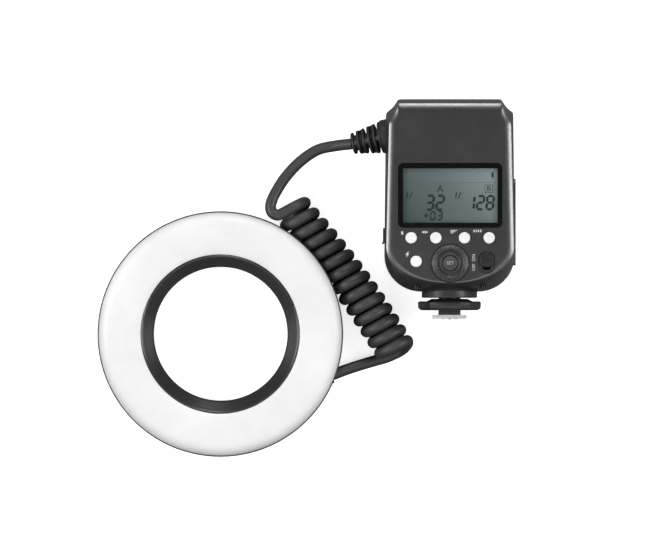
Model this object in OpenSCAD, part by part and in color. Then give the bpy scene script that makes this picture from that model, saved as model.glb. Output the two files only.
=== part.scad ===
// Macro ring flash: a ring head for the front of a lens, a control unit with a
// shoe foot, and the coiled cord between them, laid flat on a table.
// Millimetres, +Z up. The control unit lies on its back, panel up.

/* [Layout] */
// Overall width, from the ring's edge to the end of the battery
layout_w = 228.6; // [222:0.2:260]
// Overall length, from the ring's edge to the top of the control unit
layout_l = 195.4; // [190:0.2:230]

/* [Control unit] */
// Width of the case at its widest
body_w = 71; // [67:0.5:80]
// Height of the case without its foot
body_h = 105; // [100:0.5:120]
// Depth of the case, back to panel
body_d = 56; // [52:0.5:64]
// Wall of both covers
wall = 2.2; // [1.6:0.1:2.6]
// Height of the split line between the covers
part_z = 39; // [38.8:0.1:40.5]
// Radius of the two lower corners
corner_r = 20; // [14:0.5:24]
// Height of the shoulders above the bottom of the case
shoulder_v = 97.6; // [94:0.2:99]
// Width of the narrow top
top_w = 56.4; // [52:0.2:60]
// Hollow of the sweep between shoulder and top
flare_sag = 0.8; // [0:0.1:1.5]
// Width of the panel's flat face
face_w = 60.8; // [60:0.2:63]
// Drop of the panel's rolled edge from the face to the crease
edge_roll = 1.2; // [1:0.1:1.6]

/* [Display] */
// Width of the window
window_w = 56.4; // [50:0.2:58]
// Height of the window
window_h = 35; // [30:0.2:37]
// Height of the window's centre above the bottom of the case
window_v = 52.3; // [51:0.1:54]
// Thickness of the window
window_t = 1.6; // [1.2:0.1:2]
// Depth of the window under the face
window_sink = 0.4; // [0.1:0.1:0.6]

/* [Keys] */
// Diameter of a round button
key_d = 6.2; // [5:0.1:7]
// Offset of the two inner buttons
key_in_u = 7.8; // [7:0.1:9]
// Offset of the two outer buttons
key_out_u = 21.2; // [19:0.1:23]
// Height of the button row
key_row_v = 29.3; // [28.8:0.1:29.8]
// Travel of a button
key_travel = 0.6; // [0.3:0.1:0.7]
// Height of a button over the face
key_proud = 0.8; // [0.7:0.1:1.4]
// Diameter of the select dial
dial_d = 20.4; // [19:0.2:21]
// Height of the dial's axis above the bottom of the case
dial_v = 15.5; // [15.2:0.1:16]
// Ridges round the dial
dial_ridges = 60; // [40:1:72]
// Diameter of the set button
set_d = 8.1; // [7:0.1:8.6]
// Offset of the test button
test_u = 18.5; // [17.5:0.1:20]
// Offset of the power slider
slider_u = 19.9; // [18.5:0.1:21]
// Travel of the power slider
slider_travel = 3; // [2:0.1:3.4]

/* [Battery] */
// Length of the pack
pack_l = 60; // [50:0.5:60]
// Height of the pack, along the case
pack_w = 40; // [36:0.5:40]
// Thickness of the pack
pack_t = 23; // [20:0.5:23]
// Height of the pack's axis above the bottom of the case
pack_v = 38; // [37:0.5:39]
// End cap over the side of the case
cap_proud = 0.6; // [0.4:0.1:1.2]

/* [Foot] */
// Height of the foot's axis over the table
foot_z = 28; // [26:0.5:30]
// Diameter of the base collar
collar_d = 30.4; // [28:0.2:32]
// Diameter of the lock wheel
wheel_d = 34.6; // [30:0.2:36]
// Height of the lock wheel
wheel_h = 6.3; // [5:0.1:7]
// Width of the shoe plate
shoe_w = 18.5; // [18:0.1:18.6]
// Thickness of the shoe plate
shoe_t = 2.1; // [1.8:0.1:2.1]
// Gap for the rails of the shoe
rail_gap = 2.5; // [2:0.1:3]
// Travel of the lock pin
lock_travel = 1.8; // [1:0.1:2]

/* [Cord] */
// Diameter of the cord
cord_d = 6.1; // [5:0.1:6.2]
// Mean diameter of the coil
coil_d = 16.7; // [15:0.1:17]
// Turns of the coil
coil_turns = 13.25; // [9.25:1:13.25]
// Pitch at the top of the coil
pitch_top = 7.6; // [7.3:0.05:7.6]
// Pitch at the foot of the coil
pitch_foot = 6.9; // [6.75:0.05:6.9]
// Diameter of the boot where it leaves the case
boot_d = 18.8; // [16:0.2:19]

/* [Ring head] */
// Outer diameter of the diffuser
ring_d = 134.4; // [132:0.2:138]
// Height of the ring over the table
ring_h = 29; // [28:0.2:32]
// Height of the diffuser
diffuser_h = 6.5; // [6:0.1:7]
// Outer diameter of the black inner trim
trim_d = 86.8; // [86:0.1:88]
// Clear diameter for the lens
bore_d = 73.4; // [70:0.1:74]
// Nominal diameter of the lens thread
thread_d = 77; // [76:0.1:77.4]
// Length of the lens thread
thread_l = 4; // [3:0.1:5]
// Diameter of the adapter's flange
flange_d = 92; // [90:0.2:92.4]
// Wall of the ring's shells
shell_t = 2; // [1.4:0.1:2.2]
// Diameter of a flash tube
tube_d = 6.4; // [5:0.1:7]
// Dark rim of the housing that shows round the diffuser
rim_line = 0.7; // [0.3:0.1:1.2]
// Travel of a release pad
release_travel = 2; // [1:0.1:2]

/* [Clearances] */
// Round a button in its hole
key_gap = 0.25; // [0.15:0.05:0.3]
// Between pieces that lie on each other
seat_gap = 0.2; // [0.1:0.05:0.3]
// Round pieces that slide or turn past each other
move_gap = 0.4; // [0.3:0.05:0.5]

/* [Hidden] */
$fn = 64;
body_x = layout_w / 2 - cap_proud - body_w / 2;
body_y = layout_l / 2 - body_h;
ring_x = ring_d / 2 - layout_w / 2;
ring_y = ring_d / 2 - layout_l / 2;
// Case sections
back_roll = 12;
crease_z = body_d - edge_roll;
edge_turn = 30;
arc_v = 3.9;
arc_ry = 20;
arc_flat = 2;
// Depths of the keys and boards under the panel
face_in = body_d - wall;
board_t = 1.2;
key_board_z = body_d - 12;
key_board_top = key_board_z + board_t;
switch_h = 3.5;
key_flange = 0.8;
key_foot_z = key_board_top + switch_h + key_travel + 0.2;
main_board_z = part_z - 4.5;
// Room left under the key board, and the sides and ends of the boards
board_clear = 2.5;
board_side = body_w / 2 - 5.5;
key_board_v = [8, body_h - 29];
main_board_v = [15, body_h - 33];
// Dial and slider seats
dial_sink = 1.6;
dial_hub_d = set_d + 2 * (key_gap + 1);
dial_plate = 1.4;
slot_w = 9.7;
slot_h = 12.3;
slot_sink = 1.2;
knob_w = 7.4;
knob_h = slot_h - slider_travel - 1.2;
// Window and display
glass_w = window_w - 4.4;
glass_h = window_h - 4.2;
glass_t = 2.2;
// Battery: bay floor, tray and end cap
pack_z = main_board_z - pack_t - 2;
pack_x0 = body_w / 2 - 1 - pack_l;
tray_t = 1.2;
cap_w = pack_w + 7.4;
cap_h = pack_t + 2;
cap_depth = 3.4;
// Flash capacitor over the pack
can_r = 12.8;
cap_v = body_h - 25.6;
can_x = 13 - body_w / 2;
can_l = body_w - 20;
cap_z = wall + can_r + 0.8;
// Foot, measured down from the bottom of the case
collar_in = 1;
collar_end = 3.4;
wheel_top = collar_end + 0.5;
wheel_end = wheel_top + wheel_h;
neck_d = 12;
shoe_top = wheel_end + rail_gap;
shoe_end = shoe_top + shoe_t;
scallop_r = 20;
scallop_in = 2.2;
pin_r = 0.9;
lock_pin_r = 1;
lock_pin_z = 7;
// Ring sections
lip_z = ring_h - diffuser_h;
rim_r = ring_d / 2;
trim_r = trim_d / 2;
bore_r = bore_d / 2;
flange_r = flange_d / 2;
flange_t = 2.1;
recess_z = thread_l + flange_t + seat_gap;
tube_in = bore_r + 2.6;
tube_out = tube_in + 1.9;
yoke_t = 1.4;
yoke_in = tube_out + release_travel + move_gap;
yoke_out = yoke_in + 3.8;
yoke_z = [recess_z + shell_t + 0.6, recess_z + shell_t + yoke_t + 1.1];
claw_in = flange_r + move_gap + 0.3;
claw_out = claw_in + 1.5;
claw_w = 8;
ring_board_z = yoke_z[1] + yoke_t + 0.8;
reflector_z = ring_board_z + 1.6;
light_r = (trim_r + rim_r) / 2 - 1.8;
tube_z = reflector_z + 1.5 + tube_d / 2;
// Cord boots: where each stands and the way it points
case_boot_at = [body_x - body_w / 2 + 1, body_y + body_h - 20.2, foot_z];
case_boot_turn = 192;
case_boot_dip = 8;
case_boot_l = 19;
ring_boot_at = [ring_x + 47.2, ring_y - 28.8, 7.4];
ring_boot_d = 10.4;
ring_boot_turn = 24;
ring_boot_l = 15;
// Coil: its axis starts here, runs this way, and lies on the table
coil_start = [-8.6, 38];
coil_way = -53.4;
coil_bow = 2.4;
// Rise of its foot, which rests on the lower lead
coil_lift = 4.5;
coil_z = coil_d / 2 + cord_d / 2 + 0.3;
coil_r = coil_d / 2;
// Hand-set points of the two leads; the drop is measured from the end of the coil
upper_route = [[16, 72.5, 20], [6, 70.2, 18.5], [-3.5, 63.8, 17.5], [-11.5, 55.3, 17], [-16.8, 47, 17.6],
               [-19.1, 42, 18.5], [-19.6, 38.5, 19], [-18.7, 36, 19.5], [-16.5, 34.7, 19.8]];
lower_drop = [[-0.3, -2.1, -5.3], [-3.5, -5.3, -9.9]];
lower_route = [[44.5, -43.2, 3.4], [35, -46, 3.4], [24, -49.4, 4.8]];

function mix(a, b, t) = a + (b - a) * t;
function unit(v) = v / norm(v);
// Bounds r either side of c, and bounds a to b counted from c
function about(c, r) = [c - r, c + r];
function from(c, a, b) = [c + a, c + b];

// Outline of a case section. s = [half width, half width at the shoulder, half
// width at the top, bottom, shoulder, top, corner width, corner height, sag].
function half_outline(s) = concat(
    [for (i = [0:2]) [(s[0] - s[6]) * i / 3, s[3]]],
    [for (i = [0:8]) [s[0] - s[6] + s[6] * sin(90 * i / 8), s[3] + s[7] - s[7] * cos(90 * i / 8)]],
    [for (i = [1:3]) mix([s[0], s[3] + s[7]], [s[1], s[4]], i / 4)],
    [for (i = [0:6]) mix([s[1], s[4]], [s[2], s[5]], i / 6) - s[8] * sin(30 * i) * [0.7, 0.7]],
    [for (i = [1:3]) [s[2] * (1 - i / 3), s[5]]]);
function outline(s) = let (h = half_outline(s), n = len(h))
    concat(h, [for (i = [n - 2:-1:1]) [-h[i][0], h[i][1]]]);
function ring_at(s, z) = [for (p = outline(s)) [p[0], p[1], z]];

// The four sections of the case, each inset by d
function mid_section(d) = [body_w / 2 - d, body_w / 2 - 0.8 - d, top_w / 2 - d, d,
    shoulder_v - 0.4 * d, body_h - d, corner_r - d, corner_r - d, flare_sag];
function crease_section(d) = [body_w / 2 - 0.8 - d, body_w / 2 - 2.4 - d, top_w / 2 + 0.7 - d,
    arc_v + d, shoulder_v - 5.6 - 0.4 * d, body_h - 2.6 - d, body_w / 2 - 0.8 - d - arc_flat,
    arc_ry - d, flare_sag];
function face_section(d) = [face_w / 2 - d, face_w / 2 - 1.8 - d, top_w / 2 - 1 - d,
    arc_v + 1.7 + d, shoulder_v - 6.6 - 0.4 * d, body_h - 7.2 - d, face_w / 2 - d - arc_flat,
    arc_ry - 1 - d, flare_sag / 2];
function back_section(d) = [body_w / 2 - 4 - d, body_w / 2 - 5 - d, top_w / 2 - 2.2 - d, 4 + d,
    shoulder_v - 3.6 - 0.4 * d, body_h - 4 - d, corner_r - 4 - d, corner_r - 4 - d, flare_sag];
function panel_rings(d, z0) = concat(
    [ring_at(mid_section(d), z0)],
    [ring_at(mix(mid_section(d), crease_section(d), 0.45), mix(part_z, crease_z - d, 0.55))],
    [for (t = [1:-0.25:0]) ring_at(
        mix(crease_section(d), face_section(d), 1 - sin(edge_turn * t) / sin(edge_turn)),
        body_d - d - edge_roll * (1 - cos(edge_turn * t)) / (1 - cos(edge_turn)))]);
function back_rings(d, z1) = concat(
    [for (a = [0:22.5:90]) ring_at(mix(back_section(d), mid_section(d), sin(a)),
        d + (back_roll - d) * (1 - cos(a)))],
    [ring_at(mid_section(d), z1)]);

function middle(ring) = [for (p = ring) 1 / len(ring)] * ring;
// Closed skin over a stack of rings with equal counts of points
module skin(rings) {
    n = len(rings[0]);
    m = len(rings);
    sides = [for (j = [0:m - 2]) for (i = [0:n - 1]) for (h = [0, 1])
        let (a = j * n + i, b = j * n + (i + 1) % n)
            h == 0 ? [a, a + n, b + n] : [a, b + n, b]];
    lower = [for (i = [0:n - 1]) [m * n, i, (i + 1) % n]];
    upper = [for (i = [0:n - 1]) [m * n + 1, (m - 1) * n + (i + 1) % n, (m - 1) * n + i]];
    polyhedron(concat([for (r = rings) each r], [middle(rings[0]), middle(rings[m - 1])]),
        concat(lower, sides, upper), convexity = 8);
}

// Ring of points round p, square to the way t, first point towards up
function cord_ring(p, t, up, r, n) = let (side = unit(cross(unit(t), up)), top = cross(side, unit(t)))
    [for (i = [0:n - 1]) p + r * (cos(-360 * i / n) * top + sin(-360 * i / n) * side)];
// Smooth curve through hand-set points, k steps a span
function bend(p0, p1, p2, p3, t) = 0.5 * (2 * p1 + (p2 - p0) * t
    + (2 * p0 - 5 * p1 + 4 * p2 - p3) * t * t + (3 * p1 - p0 - 3 * p2 + p3) * t * t * t);
function curve(q, k) = let (n = len(q)) concat(
    [for (i = [1:n - 3]) for (j = [0:k - 1]) bend(q[i - 1], q[i], q[i + 1], q[i + 2], j / k)],
    [q[n - 2]]);
// Tube along points p whose end faces are square to t0 and t1; it never runs along up
module cord_tube(p, t0, t1, up, n) {
    m = len(p);
    skin([for (i = [0:m - 1])
        cord_ring(p[i], i == 0 ? t0 : i == m - 1 ? t1 : p[i + 1] - p[i - 1], up, cord_d / 2, n)]);
}

// Coil: angle 0 is its left side, 90 its top; the pitch closes up to the foot
coil_axis = [cos(coil_way), sin(coil_way), 0];
coil_side = [-sin(coil_way), cos(coil_way), 0];
function coil_run(k) = k * mix(pitch_top, pitch_foot, k / (2 * coil_turns));
function coil_heart(k) = [coil_start[0], coil_start[1], coil_z] + coil_axis * coil_run(k)
    + coil_side * coil_bow * sin(180 * k / coil_turns)
    + [0, 0, coil_lift * pow(max(0, k - coil_turns + 2.25) / 2.25, 2)];
function coil_point(k) = coil_heart(k)
    + coil_r * (sin(360 * k) * coil_side + cos(360 * k) * [0, 0, 1]);
function coil_tangent(k) = unit(coil_point(k + 0.002) - coil_point(k - 0.002));
function coil_out(k) = sin(360 * k) * coil_side + cos(360 * k) * [0, 0, 1];
coil_in = coil_point(0) - cord_d * coil_tangent(0);
coil_end = coil_point(coil_turns) + 1.5 * coil_tangent(coil_turns);
coil_steps = coil_turns * 8;
// Least gap of the coil to its next turn, measured on points along the tube
coil_gap = min([for (i = [0:4:coil_steps - 8]) for (j = [-2:0.5:2])
    norm(coil_point(i / 8) - coil_point((i + 8 + j) / 8))]) - cord_d;
echo(coil_gap = coil_gap);

// Direction and ends of a boot
function boot_way(turn, dip) = [cos(turn) * cos(dip), sin(turn) * cos(dip), -sin(dip)];
case_boot_way = boot_way(case_boot_turn, case_boot_dip);
ring_boot_way = boot_way(ring_boot_turn, 0);
case_boot_end = case_boot_at + case_boot_l * case_boot_way;
ring_boot_end = ring_boot_at + ring_boot_l * ring_boot_way;

module on_body() translate([body_x, body_y, 0]) children();
module on_ring() translate([ring_x, ring_y, 0]) children();
// Foot axis: local z runs down from the bottom of the case, local y is up
module on_foot() on_body() translate([0, 0, foot_z]) rotate([90, 0, 0]) children();
module on_boot(at, turn, dip) translate(at) rotate([0, 90 + dip, turn]) children();

function corner(x, y, r, a) = [for (i = [0:6]) [x + r * cos(a + 15 * i), y + r * sin(a + 15 * i)]];
module plate(w, h, r, t) linear_extrude(t) polygon(concat(
    corner(w / 2 - r, h / 2 - r, r, 0), corner(r - w / 2, h / 2 - r, r, 90),
    corner(r - w / 2, r - h / 2, r, 180), corner(w / 2 - r, r - h / 2, r, 270)));
module tube(r1, r2, z0, z1) translate([0, 0, z0]) difference() {
    cylinder(r = r2, h = z1 - z0);
    translate([0, 0, -1]) cylinder(r = r1, h = z1 - z0 + 2);
}
module block(x, y, z) translate([x[0], y[0], z[0]]) cube([x[1] - x[0], y[1] - y[0], z[1] - z[0]]);
module post(u, v, r, z0, z1) translate([u, v, z0]) cylinder(r = r, h = z1 - z0);

// Places shared by a hole and the piece in it
key_u = [-key_out_u, -key_in_u, key_in_u, key_out_u];
test_v = dial_v + 1;
slider_v = dial_v + 0.4;
board_posts = [[-26, 21.5], [26, 21.5], [-27, 73], [27, 73]];
case_posts = [[-27.5, 63], [27.5, 63], [-20, 96], [20, 96]];
strip_screws = [[-18.2, 2.2], [18.2, 2.2]];
// Red window in the back: height, width and length
assist_v = body_h - 26;
assist_w = body_w - 36;
assist_l = 17;
port_v = 30.6;
port_z = 26;

module panel_cover() color("#2a2b2d") on_body() difference() {
    union() {
        difference() {
            skin(panel_rings(0, part_z));
            skin(panel_rings(wall, part_z - 1));
        }
        for (p = board_posts) post(p[0], p[1], 2.4, key_board_top, face_in + 0.5);
        post(0, dial_v, dial_d / 2 + 1.6, face_in - dial_plate, face_in + 0.5);
    }
    translate([0, window_v, body_d - window_sink - window_t - seat_gap])
        plate(window_w + 2 * seat_gap, window_h + 2 * seat_gap, 3, 5);
    translate([0, window_v, face_in - 1]) plate(glass_w + 1, glass_h + 1, 1.5, 5);
    for (u = key_u) post(u, key_row_v, key_d / 2 + key_gap, face_in - 1, body_d + 1);
    post(-test_u, test_v, key_d / 2 + key_gap, face_in - 1, body_d + 1);
    post(0, dial_v, dial_d / 2 + move_gap, body_d - dial_sink, body_d + 1);
    post(0, dial_v, dial_hub_d / 2 + move_gap, face_in - 5, body_d + 1);
    translate([slider_u, slider_v, body_d - slot_sink]) plate(slot_w, slot_h, 4.6, 3);
    translate([slider_u, slider_v, face_in - 1]) plate(4.6, slider_travel + 5.2, 1.6, 4);
    for (p = strip_screws) translate([p[0], -1, body_d - 8.6]) rotate([-90, 0, 0])
        cylinder(r = 1.5 + seat_gap, h = 8);
    translate([0, 0, foot_z]) rotate([90, 0, 0]) translate([0, 0, -collar_in - seat_gap])
        cylinder(d = collar_d + 2 * seat_gap, h = 6);
}

module back_cover() color("#2a2b2d") on_body() difference() {
    union() {
        difference() {
            skin(back_rings(0, part_z));
            skin(back_rings(wall, part_z + 1));
        }
        for (p = case_posts) post(p[0], p[1], 3, wall - 0.5, part_z - 2);
        for (x = [-18, 20]) block([x, x + 2.4], about(pack_v, 16),
            [wall - 0.5, pack_z - 0.6 - tray_t]);
        for (x = [-14, 18]) difference() {
            block([x, x + 3], about(cap_v, 11.5), [wall - 0.5, 12]);
            translate([x - 1, cap_v, cap_z]) rotate([0, 90, 0]) cylinder(r = can_r + seat_gap, h = 5);
        }
    }
    translate([case_boot_at[0] - body_x, case_boot_at[1] - body_y, case_boot_at[2]])
        rotate([0, 90 + case_boot_dip, case_boot_turn]) translate([0, 0, -6])
            cylinder(d = boot_d + 2 * seat_gap, h = 12);
    block([body_w / 2 - cap_depth - seat_gap, body_w / 2 + 3], about(pack_v, cap_w / 2 + seat_gap),
        about(pack_z + pack_t / 2, cap_h / 2 + seat_gap));
    block(about(-body_w / 2, 1), about(port_v, 4.4), about(port_z, 7.4));
    block(from(-body_w / 2, -1, 5), about(port_v, 1.9), about(port_z, 4.9));
    translate([0, assist_v, -1]) plate(assist_w + 2 * seat_gap, assist_l + 2 * seat_gap, 3, 1 + 1.6);
    translate([0, assist_v, -1]) plate(assist_w - 5, assist_l - 5, 2, 5);
    for (p = case_posts) {
        post(p[0], p[1], 2.7, -1, 2.2 + seat_gap);
        post(p[0], p[1], 1.25, -1, part_z);
    }
    translate([0, 0, foot_z]) rotate([90, 0, 0]) translate([0, 0, -collar_in - seat_gap])
        cylinder(d = collar_d + 2 * seat_gap, h = 6);
}

module window() color("#0c0d0f") on_body()
    translate([0, window_v, body_d - window_sink - window_t]) plate(window_w, window_h, 2.8, window_t);

module display_glass() color("#8d9a8f") on_body()
    translate([0, window_v, body_d - window_sink - window_t - seat_gap - glass_t])
        plate(glass_w, glass_h, 1, glass_t);

module backlight() color("#d8dad8") on_body() difference() {
    top = body_d - window_sink - window_t - 2 * seat_gap - glass_t;
    block(about(0, glass_w / 2), about(window_v, glass_h / 2), [key_board_top + seat_gap, top]);
    block(about(0, glass_w / 2 - 2), about(window_v, glass_h / 2 - 2), [key_board_top, top - 2.4]);
}

// Round button: cap, flange under the panel, foot over its switch
module round_key(u, v) on_body() translate([u, v, 0]) {
    difference() {
        post(0, 0, key_d / 2, face_in - 0.5, body_d + key_proud);
        translate([0, 0, body_d + key_proud + 9.5]) sphere(r = 9.7);
    }
    post(0, 0, key_d / 2 + 0.8, face_in - seat_gap - key_flange, face_in - seat_gap);
    post(0, 0, 1.5, key_foot_z, face_in - seat_gap);
}
module function_button_1() color("#e9ebec") round_key(key_u[0], key_row_v);
module function_button_2() color("#e9ebec") round_key(key_u[1], key_row_v);
module function_button_3() color("#e9ebec") round_key(key_u[2], key_row_v);
module function_button_4() color("#e9ebec") round_key(key_u[3], key_row_v);
module test_button() color("#e9ebec") round_key(-test_u, test_v);

// Dial: ridged rim, dished face and a hollow hub through the panel
module select_dial() color("#1b1c1e") on_body() translate([0, dial_v, 0]) difference() {
    r = dial_d / 2;
    union() {
        intersection() {
            translate([0, 0, body_d - dial_sink + seat_gap]) linear_extrude(4)
                polygon([for (i = [0:4 * dial_ridges - 1])
                    (r - (i % 4 < 2 ? 0 : 0.3)) * [cos(90 * i / dial_ridges), sin(90 * i / dial_ridges)]]);
            rotate_extrude() polygon([[0, body_d - dial_sink], [r, body_d - dial_sink], [r, body_d + 0.5],
                [r - 1.6, body_d + 1.4], [r - 2.6, body_d + 1.4], [r - 3.6, body_d + 0.4],
                [dial_hub_d / 2 + 0.2, body_d + 0.1], [dial_hub_d / 2 - 0.4, body_d + 0.7],
                [0, body_d + 0.7]]);
        }
        post(0, 0, dial_hub_d / 2, key_board_top + 5, body_d);
    }
    post(0, 0, set_d / 2 + key_gap, key_board_z, body_d + 4);
}
module set_button() color("#222326") on_body() translate([0, dial_v, 0]) {
    difference() {
        post(0, 0, set_d / 2, face_in, body_d + 1.3);
        translate([0, 0, body_d + 1.3 + 14.6]) sphere(r = 15);
    }
    post(0, 0, 1.8, key_foot_z, face_in + 0.5);
}
// Slider knob: ribbed pad in the slot with a tongue down to the switch
module power_slider() color("#2d2e31") on_body() translate([slider_u, slider_v + slider_travel / 2, 0]) {
    translate([0, 0, body_d - slot_sink + seat_gap]) plate(knob_w, knob_h, 3.2, slot_sink + 0.3);
    for (i = [-1:1]) block([-2.6, 2.6], about(1.5 * i, 0.35), from(body_d, 0.2, 0.9));
    block([-1.6, 1.6], [-1.8, 1.8], [key_board_top + 4.2, body_d - slot_sink + 0.6]);
}
module slide_switch() color("#9a9da0") on_body() translate([slider_u, slider_v, 0]) difference() {
    block([-3.4, 3.4], [-5.2, 5.2], from(key_board_top, seat_gap, 4.6));
    block([-2, 2], about(0, slider_travel / 2 + 2.4), from(key_board_top, 3.4, 6));
}
module button_switches() color("#3a3c3f") on_body() {
    for (p = concat([for (u = key_u) [u, key_row_v]], [[-test_u, test_v], [0, dial_v]]))
        translate([p[0], p[1], 0]) {
            block([-3, 3], [-3, 3], from(key_board_top, 0, 2.6));
            post(0, 0, 1.4, key_board_top + 2, key_board_top + switch_h);
        }
}
module dial_encoder() color("#4a4d50") on_body() translate([0, dial_v, 0])
    tube(4.5, 9.4, key_board_top + seat_gap, key_board_top + 4.7);
module key_board() color("#1f5a3a") on_body() difference() {
    block(about(0, board_side), key_board_v, [key_board_z, key_board_top]);
    for (s = [-1, 1]) translate([s * board_side, key_board_v[0], key_board_z - 1]) cylinder(r = 15, h = 4);
    for (p = board_posts) post(p[0], p[1], 1.2, key_board_z - 1, key_board_top + 1);
}
module board_screws() color("#b9bcc0") on_body() for (p = board_posts) {
    post(p[0], p[1], 2.2, key_board_z - 1.4, key_board_z);
    post(p[0], p[1], 1.2 - 0.1, key_board_z - 0.5, key_board_top);
}
module main_board() color("#1f5a3a") on_body() difference() {
    block(about(0, board_side), main_board_v, from(main_board_z, 0, 1.6));
    for (p = case_posts) post(p[0], p[1], 3.6, main_board_z - 1, main_board_z + 3);
}
module transformer() color("#c9a23c") on_body() {
    foot = main_board_z + 1.6;
    h = key_board_z - board_clear - foot;
    block([-22, -8], [50, 66], from(foot, 0, 0.22 * h));
    block([-20, -10], [51.5, 64.5], from(foot, 0.2 * h, 0.8 * h));
    block([-22, -8], [50, 66], from(foot, 0.78 * h, h));
}
module flash_capacitor() color("#26303f") on_body() translate([can_x, cap_v, cap_z])
    rotate([0, 90, 0]) difference() {
        cylinder(r = can_r, h = can_l);
        tube(can_r - 0.7, can_r + 1, can_l - 3.6, can_l - 2.4);
        translate([0, 0, can_l - 0.6]) cylinder(r = can_r - 1.6, h = 2);
    }

// Battery: the pack slides out of its tray to the right on its end cap
pack_gap = 0.4;
module battery_tray() color("#3a3c3f") on_body() difference() {
    e = pack_gap + tray_t;
    block([pack_x0 - e, body_w / 2 - cap_depth - 0.4], about(pack_v, pack_w / 2 + e),
        from(pack_z, -e, pack_t + e));
    block([pack_x0 - pack_gap, body_w / 2 + 3], about(pack_v, pack_w / 2 + pack_gap),
        from(pack_z, -pack_gap, pack_t + pack_gap));
}
module battery() color("#202124") on_body() {
    block([pack_x0, body_w / 2 - cap_depth + 1], about(pack_v, pack_w / 2), from(pack_z, 0, pack_t));
    difference() {
        translate([body_w / 2 - cap_depth, pack_v, pack_z + pack_t / 2]) rotate([90, 0, 90])
            plate(cap_w, cap_h, 2.4, cap_depth + cap_proud);
        for (i = [-2:2]) block(from(body_w / 2 + cap_proud, -0.6, 1), about(pack_v + 2.4 * i, 0.5),
            about(pack_z + pack_t / 2, 6));
    }
}
module battery_contacts() color("#c8a54a") on_body() for (i = [-1:1])
    block([pack_x0 - pack_gap, pack_x0 - 0.1], about(pack_v + 8 * i, 2), from(pack_z, 6, 15));

// Rubber port cover, hinged along its lower edge, and the socket behind it
module port_cover() color("#232427") on_body() {
    block(about(-body_w / 2, 0.8), about(port_v, 4.1), about(port_z, 7.1));
    block(from(-body_w / 2, 0.7, 1.6), about(port_v, 1.5), about(port_z, 4.4));
    translate([-body_w / 2 - 0.8, port_v - 4.1, port_z - 7.1]) cylinder(r = 0.6, h = 14.2);
}
module usb_socket() color("#b9bcc0") on_body() difference() {
    block(from(-body_w / 2, wall + 0.2, wall + 4.8), about(port_v, 1.6), about(port_z, 4.5));
    block(from(-body_w / 2, wall, wall + 4.2), about(port_v, 1.25), about(port_z, 4.1));
}
module assist_window() color("#5a0c10") on_body()
    translate([0, assist_v, 0.3]) plate(assist_w, assist_l, 2.8, 1.2);
module case_screws() color("#3b3d40") on_body() {
    for (p = case_posts) {
        post(p[0], p[1], 2.4, 0.7, 2.2);
        post(p[0], p[1], 1.1, 2, part_z - 2);
    }
    for (p = strip_screws) translate([p[0], p[1] - 1, body_d - 8.6]) rotate([-90, 0, 0])
        cylinder(r = 1.5, h = 2.4);
}

// Foot: collar, lock wheel on the neck, shoe plate with its pins
module base_collar() color("#2e2f32") on_foot() rotate_extrude() polygon([[0, -collar_in],
    [collar_d / 2, -collar_in], [collar_d / 2 - 0.1, 1], [collar_d / 2 - 0.9, collar_end],
    [0, collar_end]]);
module lock_wheel() color("#242528") on_foot() difference() {
    r = wheel_d / 2;
    rotate_extrude() polygon([[neck_d / 2 + move_gap, wheel_top], [10, wheel_top],
        [12.6, wheel_top + 1.4], [r - 0.9, wheel_top + 1.4], [r, wheel_top + 2.3],
        [r - 0.4, wheel_end - 1], [r - 2.4, wheel_end], [neck_d / 2 + move_gap, wheel_end]]);
    for (a = [30:60:330]) rotate(a + 60) translate([r - scallop_in + scallop_r, 0, wheel_top - 1])
        cylinder(r = scallop_r, h = wheel_h + 2);
}
pin_spots = [[0, 0], [-3.6, -3.4], [3.6, -3.4], [-3.6, 3.4], [3.6, 3.4]];
module shoe_block() color("#1d1e20") on_foot() difference() {
    union() {
        translate([0, 0, collar_end]) cylinder(d = neck_d, h = wheel_h + 1.2);
        block(about(0, neck_d / 2), [-9, 9], [wheel_end + 0.4, shoe_top]);
    }
    translate([0, lock_pin_z, wheel_end]) cylinder(r = lock_pin_r + 0.1, h = 9);
    for (p = pin_spots) translate([p[0], p[1], wheel_end - 0.6]) cylinder(r = pin_r + 0.1, h = 9);
}
module shoe_plate() color("#d3d5d8") on_foot() difference() {
    block(about(0, shoe_w / 2), [-9, 9], [shoe_top, shoe_end]);
    for (s = [-1, 1]) translate([s * shoe_w / 2, -9, shoe_top - 1]) rotate(45)
        cube([2, 2, 9], center = true);
    translate([0, lock_pin_z, shoe_top - 1]) cylinder(r = lock_pin_r + 0.1, h = 9);
    for (p = pin_spots) translate([p[0], p[1], shoe_top - 1]) cylinder(r = pin_r + 0.5, h = 9);
}
module lock_pin() color("#b9bcc0") on_foot() translate([0, lock_pin_z, wheel_end + 0.5])
    cylinder(r = lock_pin_r, h = shoe_end - wheel_end - 0.6);
module contact_pins() color("#d8b65a") on_foot() for (p = pin_spots)
    translate([p[0], p[1], wheel_end + 0.3]) cylinder(r = pin_r, h = shoe_end - wheel_end + 0.2);

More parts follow.
